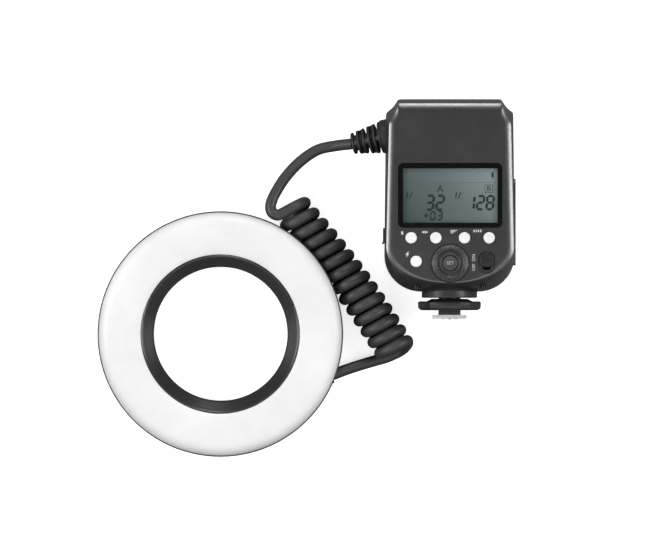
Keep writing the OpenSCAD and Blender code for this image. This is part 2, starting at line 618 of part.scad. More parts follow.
// Strain relief: core, tapering discs and bridges that change sides
module boot(d0, d1, l, discs) {
    gap = l / (discs * 2 - 1);
    rotate_extrude() polygon(concat([[0, 0]],
        [for (i = [0:discs - 1]) for (k = [0, 1, 2, 3]) let (z = (2 * i + (k < 2 ? 0 : 1)) * gap)
            [k == 0 || k == 3 ? cord_d / 2 + 1.2 : mix(d0, d1, z / l) / 2, z]],
        [[0, l]]));
    for (i = [0:discs - 2]) rotate(90 * (i % 2)) intersection() {
        block([-9, 9], [-1.3, 1.3], [(2 * i + 1) * gap - 0.2, (2 * i + 2) * gap + 0.2]);
        cylinder(r = mix(d0, d1, (2 * i + 2) * gap / l) / 2 - 0.25, h = l);
    }
}
module case_boot() color("#2b2c2f") on_boot(case_boot_at, case_boot_turn, case_boot_dip) {
    translate([0, 0, -6]) cylinder(d = boot_d, h = 8);
    translate([0, 0, 2]) boot(boot_d - 1, 11.6, case_boot_l - 2, 6);
}
module ring_boot() color("#2b2c2f") on_boot(ring_boot_at, ring_boot_turn, 0)
    boot(ring_boot_d, 8.8, ring_boot_l, 5);

module cord_upper() color("#2c2d30")
    cord_tube(curve(concat([case_boot_at + 8 * case_boot_way, case_boot_end], upper_route,
        [coil_in, coil_in + 9 * coil_tangent(0)]), 3), case_boot_way, coil_tangent(0), [0, 0, 1], 8);
module cord_coil() color("#2c2d30") skin(concat(
    [cord_ring(coil_in, coil_tangent(0), coil_out(0), cord_d / 2, 6)],
    [for (i = [0:coil_steps]) cord_ring(coil_point(i / 8), coil_tangent(i / 8), coil_out(i / 8),
        cord_d / 2, 6)],
    [cord_ring(coil_end, coil_tangent(coil_turns), coil_out(coil_turns), cord_d / 2, 6)]));
module cord_lower() color("#2c2d30")
    cord_tube(curve(concat([coil_end - 6 * coil_tangent(coil_turns), coil_end],
        [for (p = lower_drop) coil_end + p], lower_route,
        [ring_boot_end, ring_boot_end - 9 * ring_boot_way]), 3),
        coil_tangent(coil_turns), -ring_boot_way, coil_axis, 8);

// Diffuser: milky shell with a rolled rim and a shallow crown
function rim_arc(r, z, a, b) = [for (i = [0:6]) [r + a * sin(15 * i), z + b * cos(15 * i)]];
function diffuser_side(d) = concat(
    [[trim_r + seat_gap + d, trim_r > 0 ? ring_h - 1.8 - d : 0], [trim_r + 3, ring_h - 0.9 - d]],
    [[light_r - 3, ring_h - 0.1 - d]],
    rim_arc(rim_r - rim_line - 7, ring_h - 5 - d / 2, 7 - d, 5 - d / 2),
    [[rim_r - rim_line - d, lip_z]]);
module ring_diffuser() color("#e6e6e8") on_ring() rotate_extrude($fn = 128) polygon(concat(
    [[trim_r + seat_gap, lip_z]], diffuser_side(0),
    [for (i = [len(diffuser_side(shell_t)) - 1:-1:0]) diffuser_side(shell_t)[i]],
    [[trim_r + seat_gap + shell_t, lip_z]]));

// Housing: tapered back shell with a tube round the lens opening
back_r = flange_r + 6;
waist = [rim_r - 8, thread_l + 9];
module ring_housing() color("#26272a") on_ring() difference() {
    union() {
        rotate_extrude($fn = 128) polygon([[tube_in, recess_z], [flange_r + 0.4, recess_z],
            [flange_r + 0.4, thread_l], [back_r - 1, thread_l], [back_r + 1.6, thread_l + 1.2],
            waist, [rim_r - 2, lip_z - 1.9], [rim_r, lip_z - 1.1], [rim_r, lip_z - 0.5],
            [rim_r - 0.3, lip_z - seat_gap], [rim_r - 1.6 - shell_t, lip_z - seat_gap],
            [waist[0] - shell_t, waist[1] + 0.9], [back_r + 0.4, thread_l + shell_t + 0.9],
            [back_r - 1, thread_l + shell_t], [flange_r + 2.4, thread_l + shell_t],
            [flange_r + 2.4, recess_z + shell_t], [tube_out, recess_z + shell_t],
            [tube_out, lip_z - 1], [tube_in, lip_z - 1]]);
        translate([ring_boot_at[0] - ring_x, ring_boot_at[1] - ring_y, ring_boot_at[2]])
            rotate([0, 90, ring_boot_turn]) translate([0, 0, -2]) cylinder(d = 11, h = 2 - seat_gap);
    }
    translate([ring_boot_at[0] - ring_x, ring_boot_at[1] - ring_y, ring_boot_at[2]])
        rotate([0, 90, ring_boot_turn]) translate([0, 0, -seat_gap])
            cylinder(d = ring_boot_d + 2 * move_gap, h = ring_boot_l + 2);
    for (s = [0, 180]) rotate(s) {
        block([claw_in - 0.9 - flange_t, claw_out + release_travel + 0.5],
            about(0, claw_w / 2 + 0.5), [thread_l - 1, recess_z + shell_t + 0.1]);
        block([back_r - 1, rim_r], [-8.4, 8.4], [yoke_z[0] - 1.6, yoke_z[1] + yoke_t + 0.6]);
    }
}
module inner_trim() color("#17181a") on_ring() rotate_extrude($fn = 128) polygon([
    [bore_r + 0.5, recess_z + 0.8], [tube_in - 0.3, recess_z + 0.8], [tube_in - 0.3, lip_z - 0.8],
    [tube_out, lip_z - 0.8], [trim_r, ring_h - 3], [trim_r, ring_h - 1.9], [trim_r - 1, ring_h - 1.7],
    [bore_r + 0.5, ring_h - 9.6]]);
module reflector() color("#d9dbdd") on_ring() rotate_extrude($fn = 128) polygon([
    [trim_r + 3, lip_z + 2], [light_r - 5, reflector_z], [light_r + 2.6, reflector_z],
    [rim_r - 5, lip_z + 1], [rim_r - 6.2, lip_z + 1], [light_r + 2, reflector_z + 1.2],
    [light_r - 4.4, reflector_z + 1.2], [trim_r + 4.2, lip_z + 2]]);
module flash_tube(turn) on_ring() rotate(turn) {
    translate([0, 0, tube_z]) rotate(5) rotate_extrude(angle = 170)
        translate([light_r, 0]) circle(d = tube_d);
    for (a = [5, 175]) rotate(a) translate([light_r, 0, tube_z]) rotate([a < 90 ? 90 : -90, 0, 0])
        cylinder(d = tube_d - 1, h = 2);
}
module flash_tube_1() color("#cfd6dc") flash_tube(90);
module flash_tube_2() color("#cfd6dc") flash_tube(270);
module tube_holders() color("#c6c0b2") on_ring() for (a = [30, 90, 150, 210, 270, 330]) rotate(a + 15)
    translate([light_r, 0, 0]) difference() {
        block([-3.4, 1.8], [-1.4, 1.4], [reflector_z + 1.3, tube_z - 1]);
        translate([0, 3, tube_z]) rotate([90, 0, 0]) cylinder(d = tube_d + 0.6, h = 6);
    }
module ring_board() color("#1f5a3a") on_ring() tube(tube_out + 0.6, flange_r + 8,
    ring_board_z, ring_board_z + 1.2);
module trigger_coil() color("#b98a3a") on_ring() rotate(250) translate([flange_r + 5.4, 0, ring_board_z])
    block([-2, 2], [-5, 5], [-3.2, -0.2]);

// Release yoke: a ring plate with a push pad on one side and the claw on the other
module release_yoke(turn, z, window) on_ring() rotate(turn) {
    difference() {
        union() {
            tube(yoke_in, yoke_out, z, z + yoke_t);
            block([-back_r - 3, -yoke_in - 1.5], [-7, 7], [z, z + yoke_t]);
        }
        if (window) block([-claw_out - 2 * release_travel - 0.5, -claw_in + 0.5],
            about(0, claw_w / 2 + 0.5), [z - 1, z + yoke_t + 1]);
    }
    block([-rim_r + 3, -back_r - 2], [-8, 8], [yoke_z[0] - 1.2, yoke_z[1] + yoke_t + 0.2]);
    block([yoke_out - 0.8, claw_out], about(0, claw_w / 2), [z, z + yoke_t]);
    block([claw_in, claw_out], about(0, claw_w / 2), [thread_l - 1.4, z + yoke_t]);
    block([flange_r - 1.4, claw_out], about(0, claw_w / 2), [thread_l - 1.4, thread_l - 0.2]);
}
module release_yoke_1() color("#3a3c3f") release_yoke(0, yoke_z[0], true);
module release_yoke_2() color("#3a3c3f") release_yoke(180, yoke_z[1], false);
module adapter_ring() color("#1c1d1f") on_ring() rotate_extrude($fn = 128) polygon([[bore_r, 0],
    [thread_d / 2, 0], [thread_d / 2, thread_l], [flange_r, thread_l], [flange_r, thread_l + flange_t],
    [bore_r, thread_l + flange_t]]);
module ring_screws() color("#3b3d40") on_ring() for (a = [45:90:315]) rotate(a)
    translate([flange_r + 3.6, 0, thread_l - 0.6]) cylinder(r = 1.8, h = 0.6);

panel_cover();
back_cover();
window();
display_glass();
backlight();
function_button_1();
function_button_2();
function_button_3();
function_button_4();
test_button();
select_dial();
set_button();
power_slider();
slide_switch();
button_switches();
dial_encoder();
key_board();
main_board();
transformer();
flash_capacitor();
battery_tray();
battery();
battery_contacts();
port_cover();
usb_socket();
assist_window();
case_screws();
board_screws();
base_collar();
lock_wheel();
shoe_block();
shoe_plate();
lock_pin();
contact_pins();
case_boot();
cord_upper();
cord_coil();
cord_lower();
ring_boot();
ring_diffuser();
ring_housing();
inner_trim();
reflector();
flash_tube_1();
flash_tube_2();
tube_holders();
ring_board();
trigger_coil();
release_yoke_1();
release_yoke_2();
adapter_ring();
ring_screws();
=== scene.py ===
import math

import bpy
import numpy as np
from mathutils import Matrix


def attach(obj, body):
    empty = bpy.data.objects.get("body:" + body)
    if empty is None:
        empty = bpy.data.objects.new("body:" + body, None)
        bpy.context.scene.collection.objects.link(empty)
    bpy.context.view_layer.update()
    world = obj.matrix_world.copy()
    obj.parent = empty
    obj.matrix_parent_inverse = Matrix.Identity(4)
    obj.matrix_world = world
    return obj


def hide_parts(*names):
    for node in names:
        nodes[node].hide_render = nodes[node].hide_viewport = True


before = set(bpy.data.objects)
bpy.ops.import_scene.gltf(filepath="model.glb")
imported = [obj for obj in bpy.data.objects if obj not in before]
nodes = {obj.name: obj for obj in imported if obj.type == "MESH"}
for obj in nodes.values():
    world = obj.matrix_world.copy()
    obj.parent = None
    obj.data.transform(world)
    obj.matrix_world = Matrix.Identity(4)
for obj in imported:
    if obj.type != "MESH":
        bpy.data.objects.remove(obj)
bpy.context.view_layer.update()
scene = bpy.context.scene
MM = 0.001

# The picture: the flash lies flat on a pale table and is seen from straight above.
# Soft lamps stand low to the left, the right and beyond the top, and draw the bright
# lines on the rolled edges of the case. A wide sheet of light hangs high in front.
PX_PER_MM, PHOTO_W, SENSOR_W = 1.83, 660, 36
FOCUS_Z, VIEW_HEIGHT = 28, 5000
VIEW_CENTRE = 0.01292, 0.00180
camera = bpy.data.objects.new("camera", bpy.data.cameras.new("camera"))
camera.data.sensor_width = SENSOR_W
camera.data.lens = SENSOR_W * VIEW_HEIGHT / (PHOTO_W / PX_PER_MM)
camera.data.clip_end = 20
camera.location = (*VIEW_CENTRE, (FOCUS_Z + VIEW_HEIGHT) * MM)
scene.collection.objects.link(camera)
scene.camera = camera
scene.view_settings.view_transform = "Standard"


def lamp(name, place, target, size, watts):
    """A rectangular lamp at place, size (across, tall) in metres, facing target."""
    data = bpy.data.lights.new(name, "AREA")
    data.shape = "RECTANGLE"
    data.size, data.size_y = size
    data.energy = watts
    obj = bpy.data.objects.new(name, data)
    way = np.subtract(target, place)
    yaw = math.atan2(way[1], way[0]) - math.pi / 2
    obj.rotation_euler = (math.acos(-way[2] / np.linalg.norm(way)), 0, yaw)
    obj.location = place
    scene.collection.objects.link(obj)


lamp("left_strip", (-0.97, 0.06, 0.78), (0.0, 0.04, 0.05), (0.55, 0.34), 7)
lamp("right_strip", (1.07, 0.06, 0.84), (0.0, 0.04, 0.05), (0.55, 0.34), 7)
lamp("top_strip", (0.08, 1.07, 0.82), (0.08, 0.0, 0.05), (0.45, 0.34), 5.6)
lamp("front_sheet", (0.0, -0.75, 1.25), (0.0, 0.0, 0.02), (2.0, 1.1), 7.4)


def sockets(tree, kind, **values):
    """A new shader node of that kind with the named inputs set."""
    node = tree.nodes.new(kind)
    for name, value in values.items():
        node.inputs[name.replace("_", " ")].default_value = value
    return node


def maths(tree, kind, operation):
    """A new maths node of that kind and operation."""
    node = tree.nodes.new(kind)
    node.operation = operation
    return node


# The room: a white tent, darker straight above where the camera looks in, and open at
# the front.
world = bpy.data.worlds.new("tent")
world.use_nodes = True
tree = world.node_tree
place = tree.nodes.new("ShaderNodeTexCoord")
axes = tree.nodes.new("ShaderNodeSeparateXYZ")
height = sockets(tree, "ShaderNodeMapRange", From_Min=0.2, From_Max=1.0, To_Min=0.4, To_Max=0.08)
height.interpolation_type = "SMOOTHSTEP"
front = sockets(tree, "ShaderNodeMapRange", From_Min=-0.95, From_Max=-0.6, To_Min=0.02, To_Max=1.0)
both = maths(tree, "ShaderNodeMath", "MULTIPLY")
tree.links.new(place.outputs["Generated"], axes.inputs[0])
tree.links.new(axes.outputs["Z"], height.inputs["Value"])
tree.links.new(axes.outputs["Y"], front.inputs["Value"])
tree.links.new(height.outputs["Result"], both.inputs[0])
tree.links.new(front.outputs["Result"], both.inputs[1])
tree.links.new(both.outputs[0], tree.nodes["Background"].inputs["Strength"])
tree.nodes["Background"].inputs["Color"].default_value = (1, 1, 1, 1)
scene.world = world

# The table: plain pale paper. The camera sees it lit and a little glowing, and the part
# sees it darker, with a painted dark patch in front of the case: painted shade for the
# case's lower side to mirror.
TABLE_HALF, TABLE_DROP, PAINTED_SHADE_AT = 4, 0.0003, (0.078, -0.2, 0)
table_mesh = bpy.data.meshes.new("table")
table_mesh.from_pydata([(x * TABLE_HALF, y * TABLE_HALF, 0) for x, y in ((-1, -1), (1, -1), (1, 1), (-1, 1))],
                       [], [(0, 1, 2, 3)])
table = bpy.data.objects.new("table", table_mesh)
table.location.z = -TABLE_DROP
scene.collection.objects.link(table)
paper = bpy.data.materials.new("table_paper")
paper.use_nodes = True
tree = paper.node_tree
tree.nodes.clear()
plain = tree.nodes.new("ShaderNodeBsdfDiffuse")
place = tree.nodes.new("ShaderNodeTexCoord")
# Painted shade: the table darkens to 0.03 round this spot, and only the part sees it.
painted_shade_patch = maths(tree, "ShaderNodeVectorMath", "DISTANCE")
painted_shade_patch.inputs[1].default_value = PAINTED_SHADE_AT
grey = sockets(tree, "ShaderNodeMapRange", From_Min=0.1, From_Max=0.2, To_Min=0.03, To_Max=0.24)
tree.links.new(place.outputs["Object"], painted_shade_patch.inputs[0])
tree.links.new(painted_shade_patch.outputs["Value"], grey.inputs["Value"])
tree.links.new(grey.outputs["Result"], plain.inputs["Color"])
white = sockets(tree, "ShaderNodeBsdfDiffuse", Color=(0.9, 0.9, 0.9, 1))
glow = sockets(tree, "ShaderNodeEmission", Color=(1, 1, 1, 1), Strength=0.72)
both = tree.nodes.new("ShaderNodeAddShader")
pick = tree.nodes.new("ShaderNodeMixShader")
rays = tree.nodes.new("ShaderNodeLightPath")
out = tree.nodes.new("ShaderNodeOutputMaterial")
tree.links.new(white.outputs[0], both.inputs[0])
tree.links.new(glow.outputs[0], both.inputs[1])
tree.links.new(rays.outputs["Is Camera Ray"], pick.inputs[0])
tree.links.new(plain.outputs[0], pick.inputs[1])
tree.links.new(both.outputs[0], pick.inputs[2])
tree.links.new(pick.outputs[0], out.inputs[0])
table_mesh.materials.append(paper)

# The cord: a round black lead, moulded into a coil between its two boots. It leaves
# the case in the air, dips and turns over the head of the coil, and comes out along
# the table at the coil's foot to run under the ring.
CORD_D, COIL_R, COIL_TURNS = 6.1, 8.35, 13.25
PITCH_TOP, PITCH_FOOT, COIL_BOW, COIL_LIFT = 7.6, 6.9, 2.4, 4.5
COIL_START = np.array([-8.6, 38, COIL_R + CORD_D / 2 + 0.3])
COIL_AXIS = np.array([math.cos(math.radians(-53.4)), math.sin(math.radians(-53.4)), 0])
COIL_SIDE = np.array([-COIL_AXIS[1], COIL_AXIS[0], 0])
CASE_BOOT_AT, CASE_BOOT_L, CASE_BOOT_TURN, CASE_BOOT_DIP = np.array([43.7, 77.5, 28]), 19, 192, 8
RING_BOOT_AT, RING_BOOT_L, RING_BOOT_TURN = np.array([0.1, -59.3, 7.4]), 15, 24
SIDES_ROUND, STEPS_PER_SPAN, STEPS_PER_TURN = 24, 9, 32
UPPER_ROUTE = [(16, 72.5, 20), (6, 70.2, 18.5), (-3.5, 63.8, 17.5), (-11.5, 55.3, 17), (-16.8, 47, 17.6),
               (-19.1, 42, 18.5), (-19.6, 38.5, 19), (-18.7, 36, 19.5), (-16.5, 34.7, 19.8)]
LOWER_DROP = np.array([(-0.3, -2.1, -5.3), (-3.5, -5.3, -9.9)])
LOWER_ROUTE = [(44.5, -43.2, 3.4), (35, -46, 3.4), (24, -49.4, 4.8)]


def boot_way(turn, dip):
    """Unit vector at turn degrees round +Z from +X, dipping below level."""
    a, b = math.radians(turn), math.radians(dip)
    return np.array([math.cos(a) * math.cos(b), math.sin(a) * math.cos(b), -math.sin(b)])


def coil_out(k):
    """Outward direction of the coil at turn k: straight up at whole turns."""
    a = 2 * np.pi * np.asarray(k, float)[..., None]
    return np.sin(a) * COIL_SIDE + np.cos(a) * np.array([0, 0, 1])


def coil_point(k):
    """Point of the coil at turn k: a helix round a slightly bowed axis, whose pitch
    falls evenly from the head to the foot, and whose last turns rise over the lead."""
    k = np.asarray(k, float)
    run = k * (PITCH_TOP + (PITCH_FOOT - PITCH_TOP) * k / (2 * COIL_TURNS))
    bow = COIL_BOW * np.sin(np.pi * k / COIL_TURNS)
    lift = COIL_LIFT * (np.maximum(0, k - COIL_TURNS + 2.25) / 2.25) ** 2
    heart = COIL_START + run[..., None] * COIL_AXIS + bow[..., None] * COIL_SIDE
    return heart + lift[..., None] * np.array([0, 0, 1]) + COIL_R * coil_out(k)


def coil_tangent(k):
    """Unit tangent of the coil at turn k, from two points close to it."""
    d = coil_point(k + 0.002) - coil_point(k - 0.002)
    return d / np.linalg.norm(d)


def smooth_route(points, steps):
    """Catmull-Rom curve through all but the first and the last of the points."""
    q = np.array(points, float)
    t = np.linspace(0, 1, steps, endpoint=False)[None, :, None]
    a, b, c, d = q[:-3, None], q[1:-2, None], q[2:-1, None], q[3:, None]
    spans = 0.5 * (2 * b + (c - a) * t + (2 * a - 5 * b + 4 * c - d) * t ** 2
                   + (3 * b - a - 3 * c + d) * t ** 3)
    return np.concatenate([spans.reshape(-1, 3), q[-2:-1]])


def quads(rows, cols, loop=False):
    """Quads of a grid of points that closes round each row, and with loop also from
    the last row to the first."""
    r, c = np.meshgrid(np.arange(rows if loop else rows - 1), np.arange(cols), indexing="ij")
    n, s = (c + 1) % cols, (r + 1) % rows
    return np.stack([r * cols + c, r * cols + n, s * cols + n, s * cols + c], -1).reshape(-1, 4).tolist()


def stack(rings):
    """Closed skin over an array of rings (rows, points, 3), capped by flat ends."""
    rings = np.asarray(rings, float)
    rows, cols = rings.shape[:2]
    ends = [list(range(cols))[::-1], list(range((rows - 1) * cols, rows * cols))]
    return rings.reshape(-1, 3), quads(rows, cols) + ends


def piece(name, shape, material, body="flash", replaces=(), smooth=35):
    """A mesh from (points in millimetres, faces) that rides on a body. Edges sharper
    than smooth degrees stay crisp."""
    mesh = bpy.data.meshes.new(name)
    mesh.from_pydata((np.asarray(shape[0], float) * MM).tolist(), [], shape[1])
    mesh.polygons.foreach_set("use_smooth", np.ones(len(mesh.polygons), bool))
    mesh.set_sharp_from_angle(angle=math.radians(smooth))
    mesh.materials.append(material)
    obj = bpy.data.objects.new(name, mesh)
    scene.collection.objects.link(obj)
    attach(obj, body)
    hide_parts(*replaces)
    return obj


def grain_group():
    """Moulded surface: a wide noise drifts the colour and the roughness, and a fine
    noise is the height of the grain."""
    group = bpy.data.node_groups.new("moulded_grain", "ShaderNodeTree")
    face = group.interface
    for name, value in (("Grain", 2600.0), ("Drift", 60.0), ("Roughness", 0.5), ("Spread", 0.1)):
        face.new_socket(name, in_out="INPUT", socket_type="NodeSocketFloat").default_value = value
    face.new_socket("Color", in_out="INPUT", socket_type="NodeSocketColor")
    face.new_socket("Color", in_out="OUTPUT", socket_type="NodeSocketColor")
    face.new_socket("Roughness", in_out="OUTPUT", socket_type="NodeSocketFloat")
    face.new_socket("Height", in_out="OUTPUT", socket_type="NodeSocketFloat")
    given, made = group.nodes.new("NodeGroupInput"), group.nodes.new("NodeGroupOutput")
    place = group.nodes.new("ShaderNodeTexCoord")
    fine = sockets(group, "ShaderNodeTexNoise", Detail=2.0)
    wide = sockets(group, "ShaderNodeTexNoise", Detail=4.0, Roughness=0.6)
    shade = sockets(group, "ShaderNodeMapRange", To_Min=0.85, To_Max=1.15)
    tint = maths(group, "ShaderNodeVectorMath", "SCALE")
    drift = sockets(group, "ShaderNodeMapRange", To_Min=-0.5, To_Max=0.5)
    rough = maths(group, "ShaderNodeMath", "MULTIPLY_ADD")
    link = group.links.new
    link(place.outputs["Object"], fine.inputs["Vector"])
    link(place.outputs["Object"], wide.inputs["Vector"])
    link(given.outputs["Grain"], fine.inputs["Scale"])
    link(given.outputs["Drift"], wide.inputs["Scale"])
    link(wide.outputs["Fac"], shade.inputs["Value"])
    link(wide.outputs["Fac"], drift.inputs["Value"])
    link(given.outputs["Color"], tint.inputs[0])
    link(shade.outputs["Result"], tint.inputs["Scale"])
    link(drift.outputs["Result"], rough.inputs[0])
    link(given.outputs["Spread"], rough.inputs[1])
    link(given.outputs["Roughness"], rough.inputs[2])
    link(tint.outputs[0], made.inputs["Color"])
    link(rough.outputs[0], made.inputs["Roughness"])
    link(fine.outputs["Fac"], made.inputs["Height"])
    return group


GRAIN = grain_group()


def moulded(name, colour, rough, grain=2600.0, bump=0.1, drift=60.0, spread=0.12, **shader):
    """One Principled shader: colour, roughness and normal from the grain group, and
    anything that is constant set on the shader itself."""
    material = bpy.data.materials.new(name)
    material.use_nodes = True
    tree = material.node_tree
    body = tree.nodes["Principled BSDF"]
    for key, value in shader.items():
        body.inputs[key.replace("_", " ")].default_value = value
    group = tree.nodes.new("ShaderNodeGroup")
    group.node_tree = GRAIN
    given = {"Grain": grain, "Drift": drift, "Roughness": rough, "Spread": spread, "Color": (*colour, 1)}
    for key, value in given.items():
        group.inputs[key].default_value = value
    relief = sockets(tree, "ShaderNodeBump", Strength=bump, Distance=0.0002)
    tree.links.new(group.outputs["Color"], body.inputs["Base Color"])
    tree.links.new(group.outputs["Roughness"], body.inputs["Roughness"])
    tree.links.new(group.outputs["Height"], relief.inputs["Height"])
    tree.links.new(relief.outputs["Normal"], body.inputs["Normal"])
    return material


def tube(points, up, radius, sides):
    """Round tube along points: each ring is square to the path, its first corner
    towards up, and flat ends close it."""
    way = np.gradient(points, axis=0)
    way /= np.linalg.norm(way, axis=1, keepdims=True)
    top = up - np.sum(up * way, axis=1, keepdims=True) * way
    top /= np.linalg.norm(top, axis=1, keepdims=True)
    side = np.cross(way, top)
    a = np.linspace(0, 2 * np.pi, sides, endpoint=False)[None, :, None]
    return stack(points[:, None] + radius * (np.cos(a) * top[:, None] + np.sin(a) * side[:, None]))


rubber = moulded("cord_rubber", (0.038, 0.038, 0.039), 0.5, bump=0.08, spread=0.2, Specular_IOR_Level=0.6)
case_way, ring_way = boot_way(CASE_BOOT_TURN, CASE_BOOT_DIP), boot_way(RING_BOOT_TURN, 0)
cord_exit = CASE_BOOT_AT + CASE_BOOT_L * case_way
cord_far = RING_BOOT_AT + RING_BOOT_L * ring_way
coil_in = coil_point(0) - CORD_D * coil_tangent(0)
coil_foot = coil_point(COIL_TURNS) + 1.5 * coil_tangent(COIL_TURNS)
upper = smooth_route([CASE_BOOT_AT + 8 * case_way, cord_exit, *UPPER_ROUTE, coil_in,
                      coil_in + 9 * coil_tangent(0)], STEPS_PER_SPAN)
turns = np.linspace(0, COIL_TURNS, int(COIL_TURNS * STEPS_PER_TURN) + 1)
lower = smooth_route([coil_foot - 6 * coil_tangent(COIL_TURNS), coil_foot, *(coil_foot + LOWER_DROP),
                      *LOWER_ROUTE, cord_far, cord_far - 9 * ring_way], STEPS_PER_SPAN)
route = np.concatenate([upper, coil_point(turns), lower])
upward = np.concatenate([np.tile([0, 0, 1.0], (len(upper), 1)), coil_out(turns),
                         np.tile(-COIL_AXIS, (len(lower), 1))])
cord = piece("cord", tube(route, upward, CORD_D / 2, SIDES_ROUND), rubber,
             replaces=("cord_upper", "cord_coil", "cord_lower"), smooth=60)

# The boots: moulded rubber strain reliefs at both ends of the cord. Each is a core
# with discs that taper to the cord, and small bridges that change sides from gap to
# gap so that the boot can bend.
DISC_ROUND, CORE_WALL, BRIDGE_HALF, BRIDGE_SINK = 0.45, 1.2, 1.3, 0.3


def boot(at, way, turn, d0, d1, length, discs):
    """Radius of a boot over its angle and its length: a disc with rounded edges, or
    between discs the core, raised to the disc on the two sides with a bridge."""
    step = length / (2 * discs - 1)
    s = np.linspace(0, length, (2 * discs - 1) * 12 + 1)
    a = np.linspace(0, 2 * np.pi, 144, endpoint=False)
    index = np.minimum((s / step).astype(int), 2 * discs - 2)
    part = s / step - index
    disc = (d0 + (d1 - d0) * s / length) / 2
    edge = np.minimum(part, 1 - part) * step
    rolled = disc - DISC_ROUND * np.clip(1 - edge / DISC_ROUND, 0, 1) ** 2
    core = np.full_like(s, CORD_D / 2 + CORE_WALL)
    swing = np.where((index // 2) % 2 == 0, 0.0, np.pi / 2)
    bridge = np.abs(np.sin(a[None] - swing[:, None])) * disc[:, None] < BRIDGE_HALF
    gap = np.where(bridge, disc[:, None] - BRIDGE_SINK, core[:, None])
    r = np.where((index % 2 == 0)[:, None], rolled[:, None], gap)
    t = math.radians(turn)
    across = np.array([-math.sin(t), math.cos(t), 0])
    over = np.cross(way, across)
    spoke = np.cos(a)[:, None] * -over + np.sin(a)[:, None] * across
    return stack(at + s[:, None, None] * way + r[..., None] * spoke[None])


boot_rubber = moulded("boot_rubber", (0.018, 0.018, 0.019), 0.5, bump=0.1, spread=0.2)


def join(*shapes):
    """Several (points, faces) shapes as one."""
    starts = np.cumsum([0] + [len(s[0]) for s in shapes[:-1]])
    faces = [[int(i + start) for i in f] for s, start in zip(shapes, starts) for f in s[1]]
    return np.concatenate([np.asarray(s[0], float) for s in shapes]), faces


def lathe(profile, sides, loop=False):
    """Profile points (radius, height), outside on the right of their order going up,
    turned round +Z. A loop closes on itself; otherwise flat discs close the ends."""
    p = np.asarray(profile, float)
    a = np.linspace(0, 2 * np.pi, sides, endpoint=False)
    rings = np.stack([p[:, :1] * np.cos(a), p[:, :1] * np.sin(a), np.repeat(p[:, 1:], sides, 1)], -1)
    return (rings.reshape(-1, 3), quads(len(p), sides, True)) if loop else stack(rings)


def turned(shape, at, x, y, z):
    """A shape's points moved to at with its own axes along x, y and z."""
    return at + np.asarray(shape[0]) @ np.array([x, y, z], float), shape[1]


def arc(cx, cy, rx, ry, a0, a1, n=7):
    """Points on an ellipse about (cx, cy) from a0 to a1 degrees."""
    a = np.radians(np.linspace(a0, a1, n))
    return np.stack([cx + rx * np.cos(a), cy + ry * np.sin(a)], 1)


across = np.array([-math.sin(math.radians(CASE_BOOT_TURN)), math.cos(math.radians(CASE_BOOT_TURN)), 0])
down = -np.cross(case_way, across)
flange = lathe(np.concatenate([[(9.4, -6)], arc(8.7, 1.3, 0.7, 0.7, 0, 90), [(4.5, 2)]]), 96)
piece("case_boot_rubber",
      join(turned(flange, CASE_BOOT_AT, down, across, case_way),
           boot(CASE_BOOT_AT + 2 * case_way, case_way, CASE_BOOT_TURN, 17.8, 11.6, CASE_BOOT_L - 2, 6)),
      boot_rubber, replaces=("case_boot",))
piece("ring_boot_rubber", boot(RING_BOOT_AT, ring_way, RING_BOOT_TURN, 10.4, 8.8, RING_BOOT_L, 5),
      boot_rubber, replaces=("ring_boot",))

# The case: two moulded covers in charcoal plastic with a fine grain, split along a
# line near the panel and held by four long screws from the back. The panel side
# rolls over into a flat face; the back side is rounder.
BODY = np.array([78.2, -7.3, 0])
BODY_D, WALL, PART_Z, BACK_ROUND = 56, 2.2, 39, 12
ROLL_H, TURN = 1.2, math.radians(30)


def section(s):
    """Outline of a case section from half width, half width at the shoulder and at the
    top, bottom, shoulder, top, corner width and height, and sag: a flat bottom, an
    elliptic corner, a leaning side, a hollow sweep and a flat top, then mirrored. A
    short running mean rounds the two corners of the sweep."""
    def line(a, b, n):
        """Evenly spaced points from a up to b, which is left out."""
        return np.array(a) + np.linspace(0, 1, n, endpoint=False)[:, None] * np.subtract(b, a)
    wide, wide_shoulder, wide_top, bottom, shoulder, top, corner_w, corner_h, sag = s
    t = np.linspace(0, 1, 14, endpoint=False)[:, None]
    sweep = line((wide_shoulder, shoulder), (wide_top, top), 14) - 0.7 * sag * np.sin(np.pi * t)
    half = np.concatenate([line((0, bottom), (wide - corner_w, bottom), 16),
                           arc(wide - corner_w, bottom + corner_h, corner_w, corner_h, -90, 0, 45)[:-1],
                           line((wide, bottom + corner_h), (wide_shoulder, shoulder), 96), sweep,
                           line((wide_top, top), (0, top), 36), [(0, top)]])
    whole = np.concatenate([half, half[-2:0:-1] * (-1, 1)])
    return sum(w * np.roll(whole, k, 0) for k, w in ((-2, 1), (-1, 2), (0, 3), (1, 2), (2, 1))) / 9


def mid(d):
    """Section at the parting line and along the side, at inset d."""
    return np.array([35.5 - d, 34.7 - d, 28.2 - d, d, 97.6 - 0.4 * d, 105 - d, 20 - d, 20 - d, 0.8])


def crease(d):
    """Section where the side turns over to the panel, at inset d."""
    return np.array([34.7 - d, 33.1 - d, 28.9 - d, 3.9 + d, 92 - 0.4 * d, 102.4 - d, 32.7 - d, 20 - d,
                     0.8])


def face(d):
    """Section at the edge of the flat panel, at inset d."""
    return np.array([30.4 - d, 28.6 - d, 27.2 - d, 5.6 + d, 91 - 0.4 * d, 97.8 - d, 28.6 - d, 19 - d, 0.4])


def back(d):
    """Section at the edge of the flat back, at inset d."""
    return np.array([31.5 - d, 30.5 - d, 26 - d, 4 + d, 94 - 0.4 * d, 101 - d, 16 - d, 16 - d, 0.8])


def cased(levels):
    """Closed skin on the case over (section values, height) pairs."""
    return stack([np.column_stack([section(s), np.full(len(section(s)), z)]) + BODY for s, z in levels])


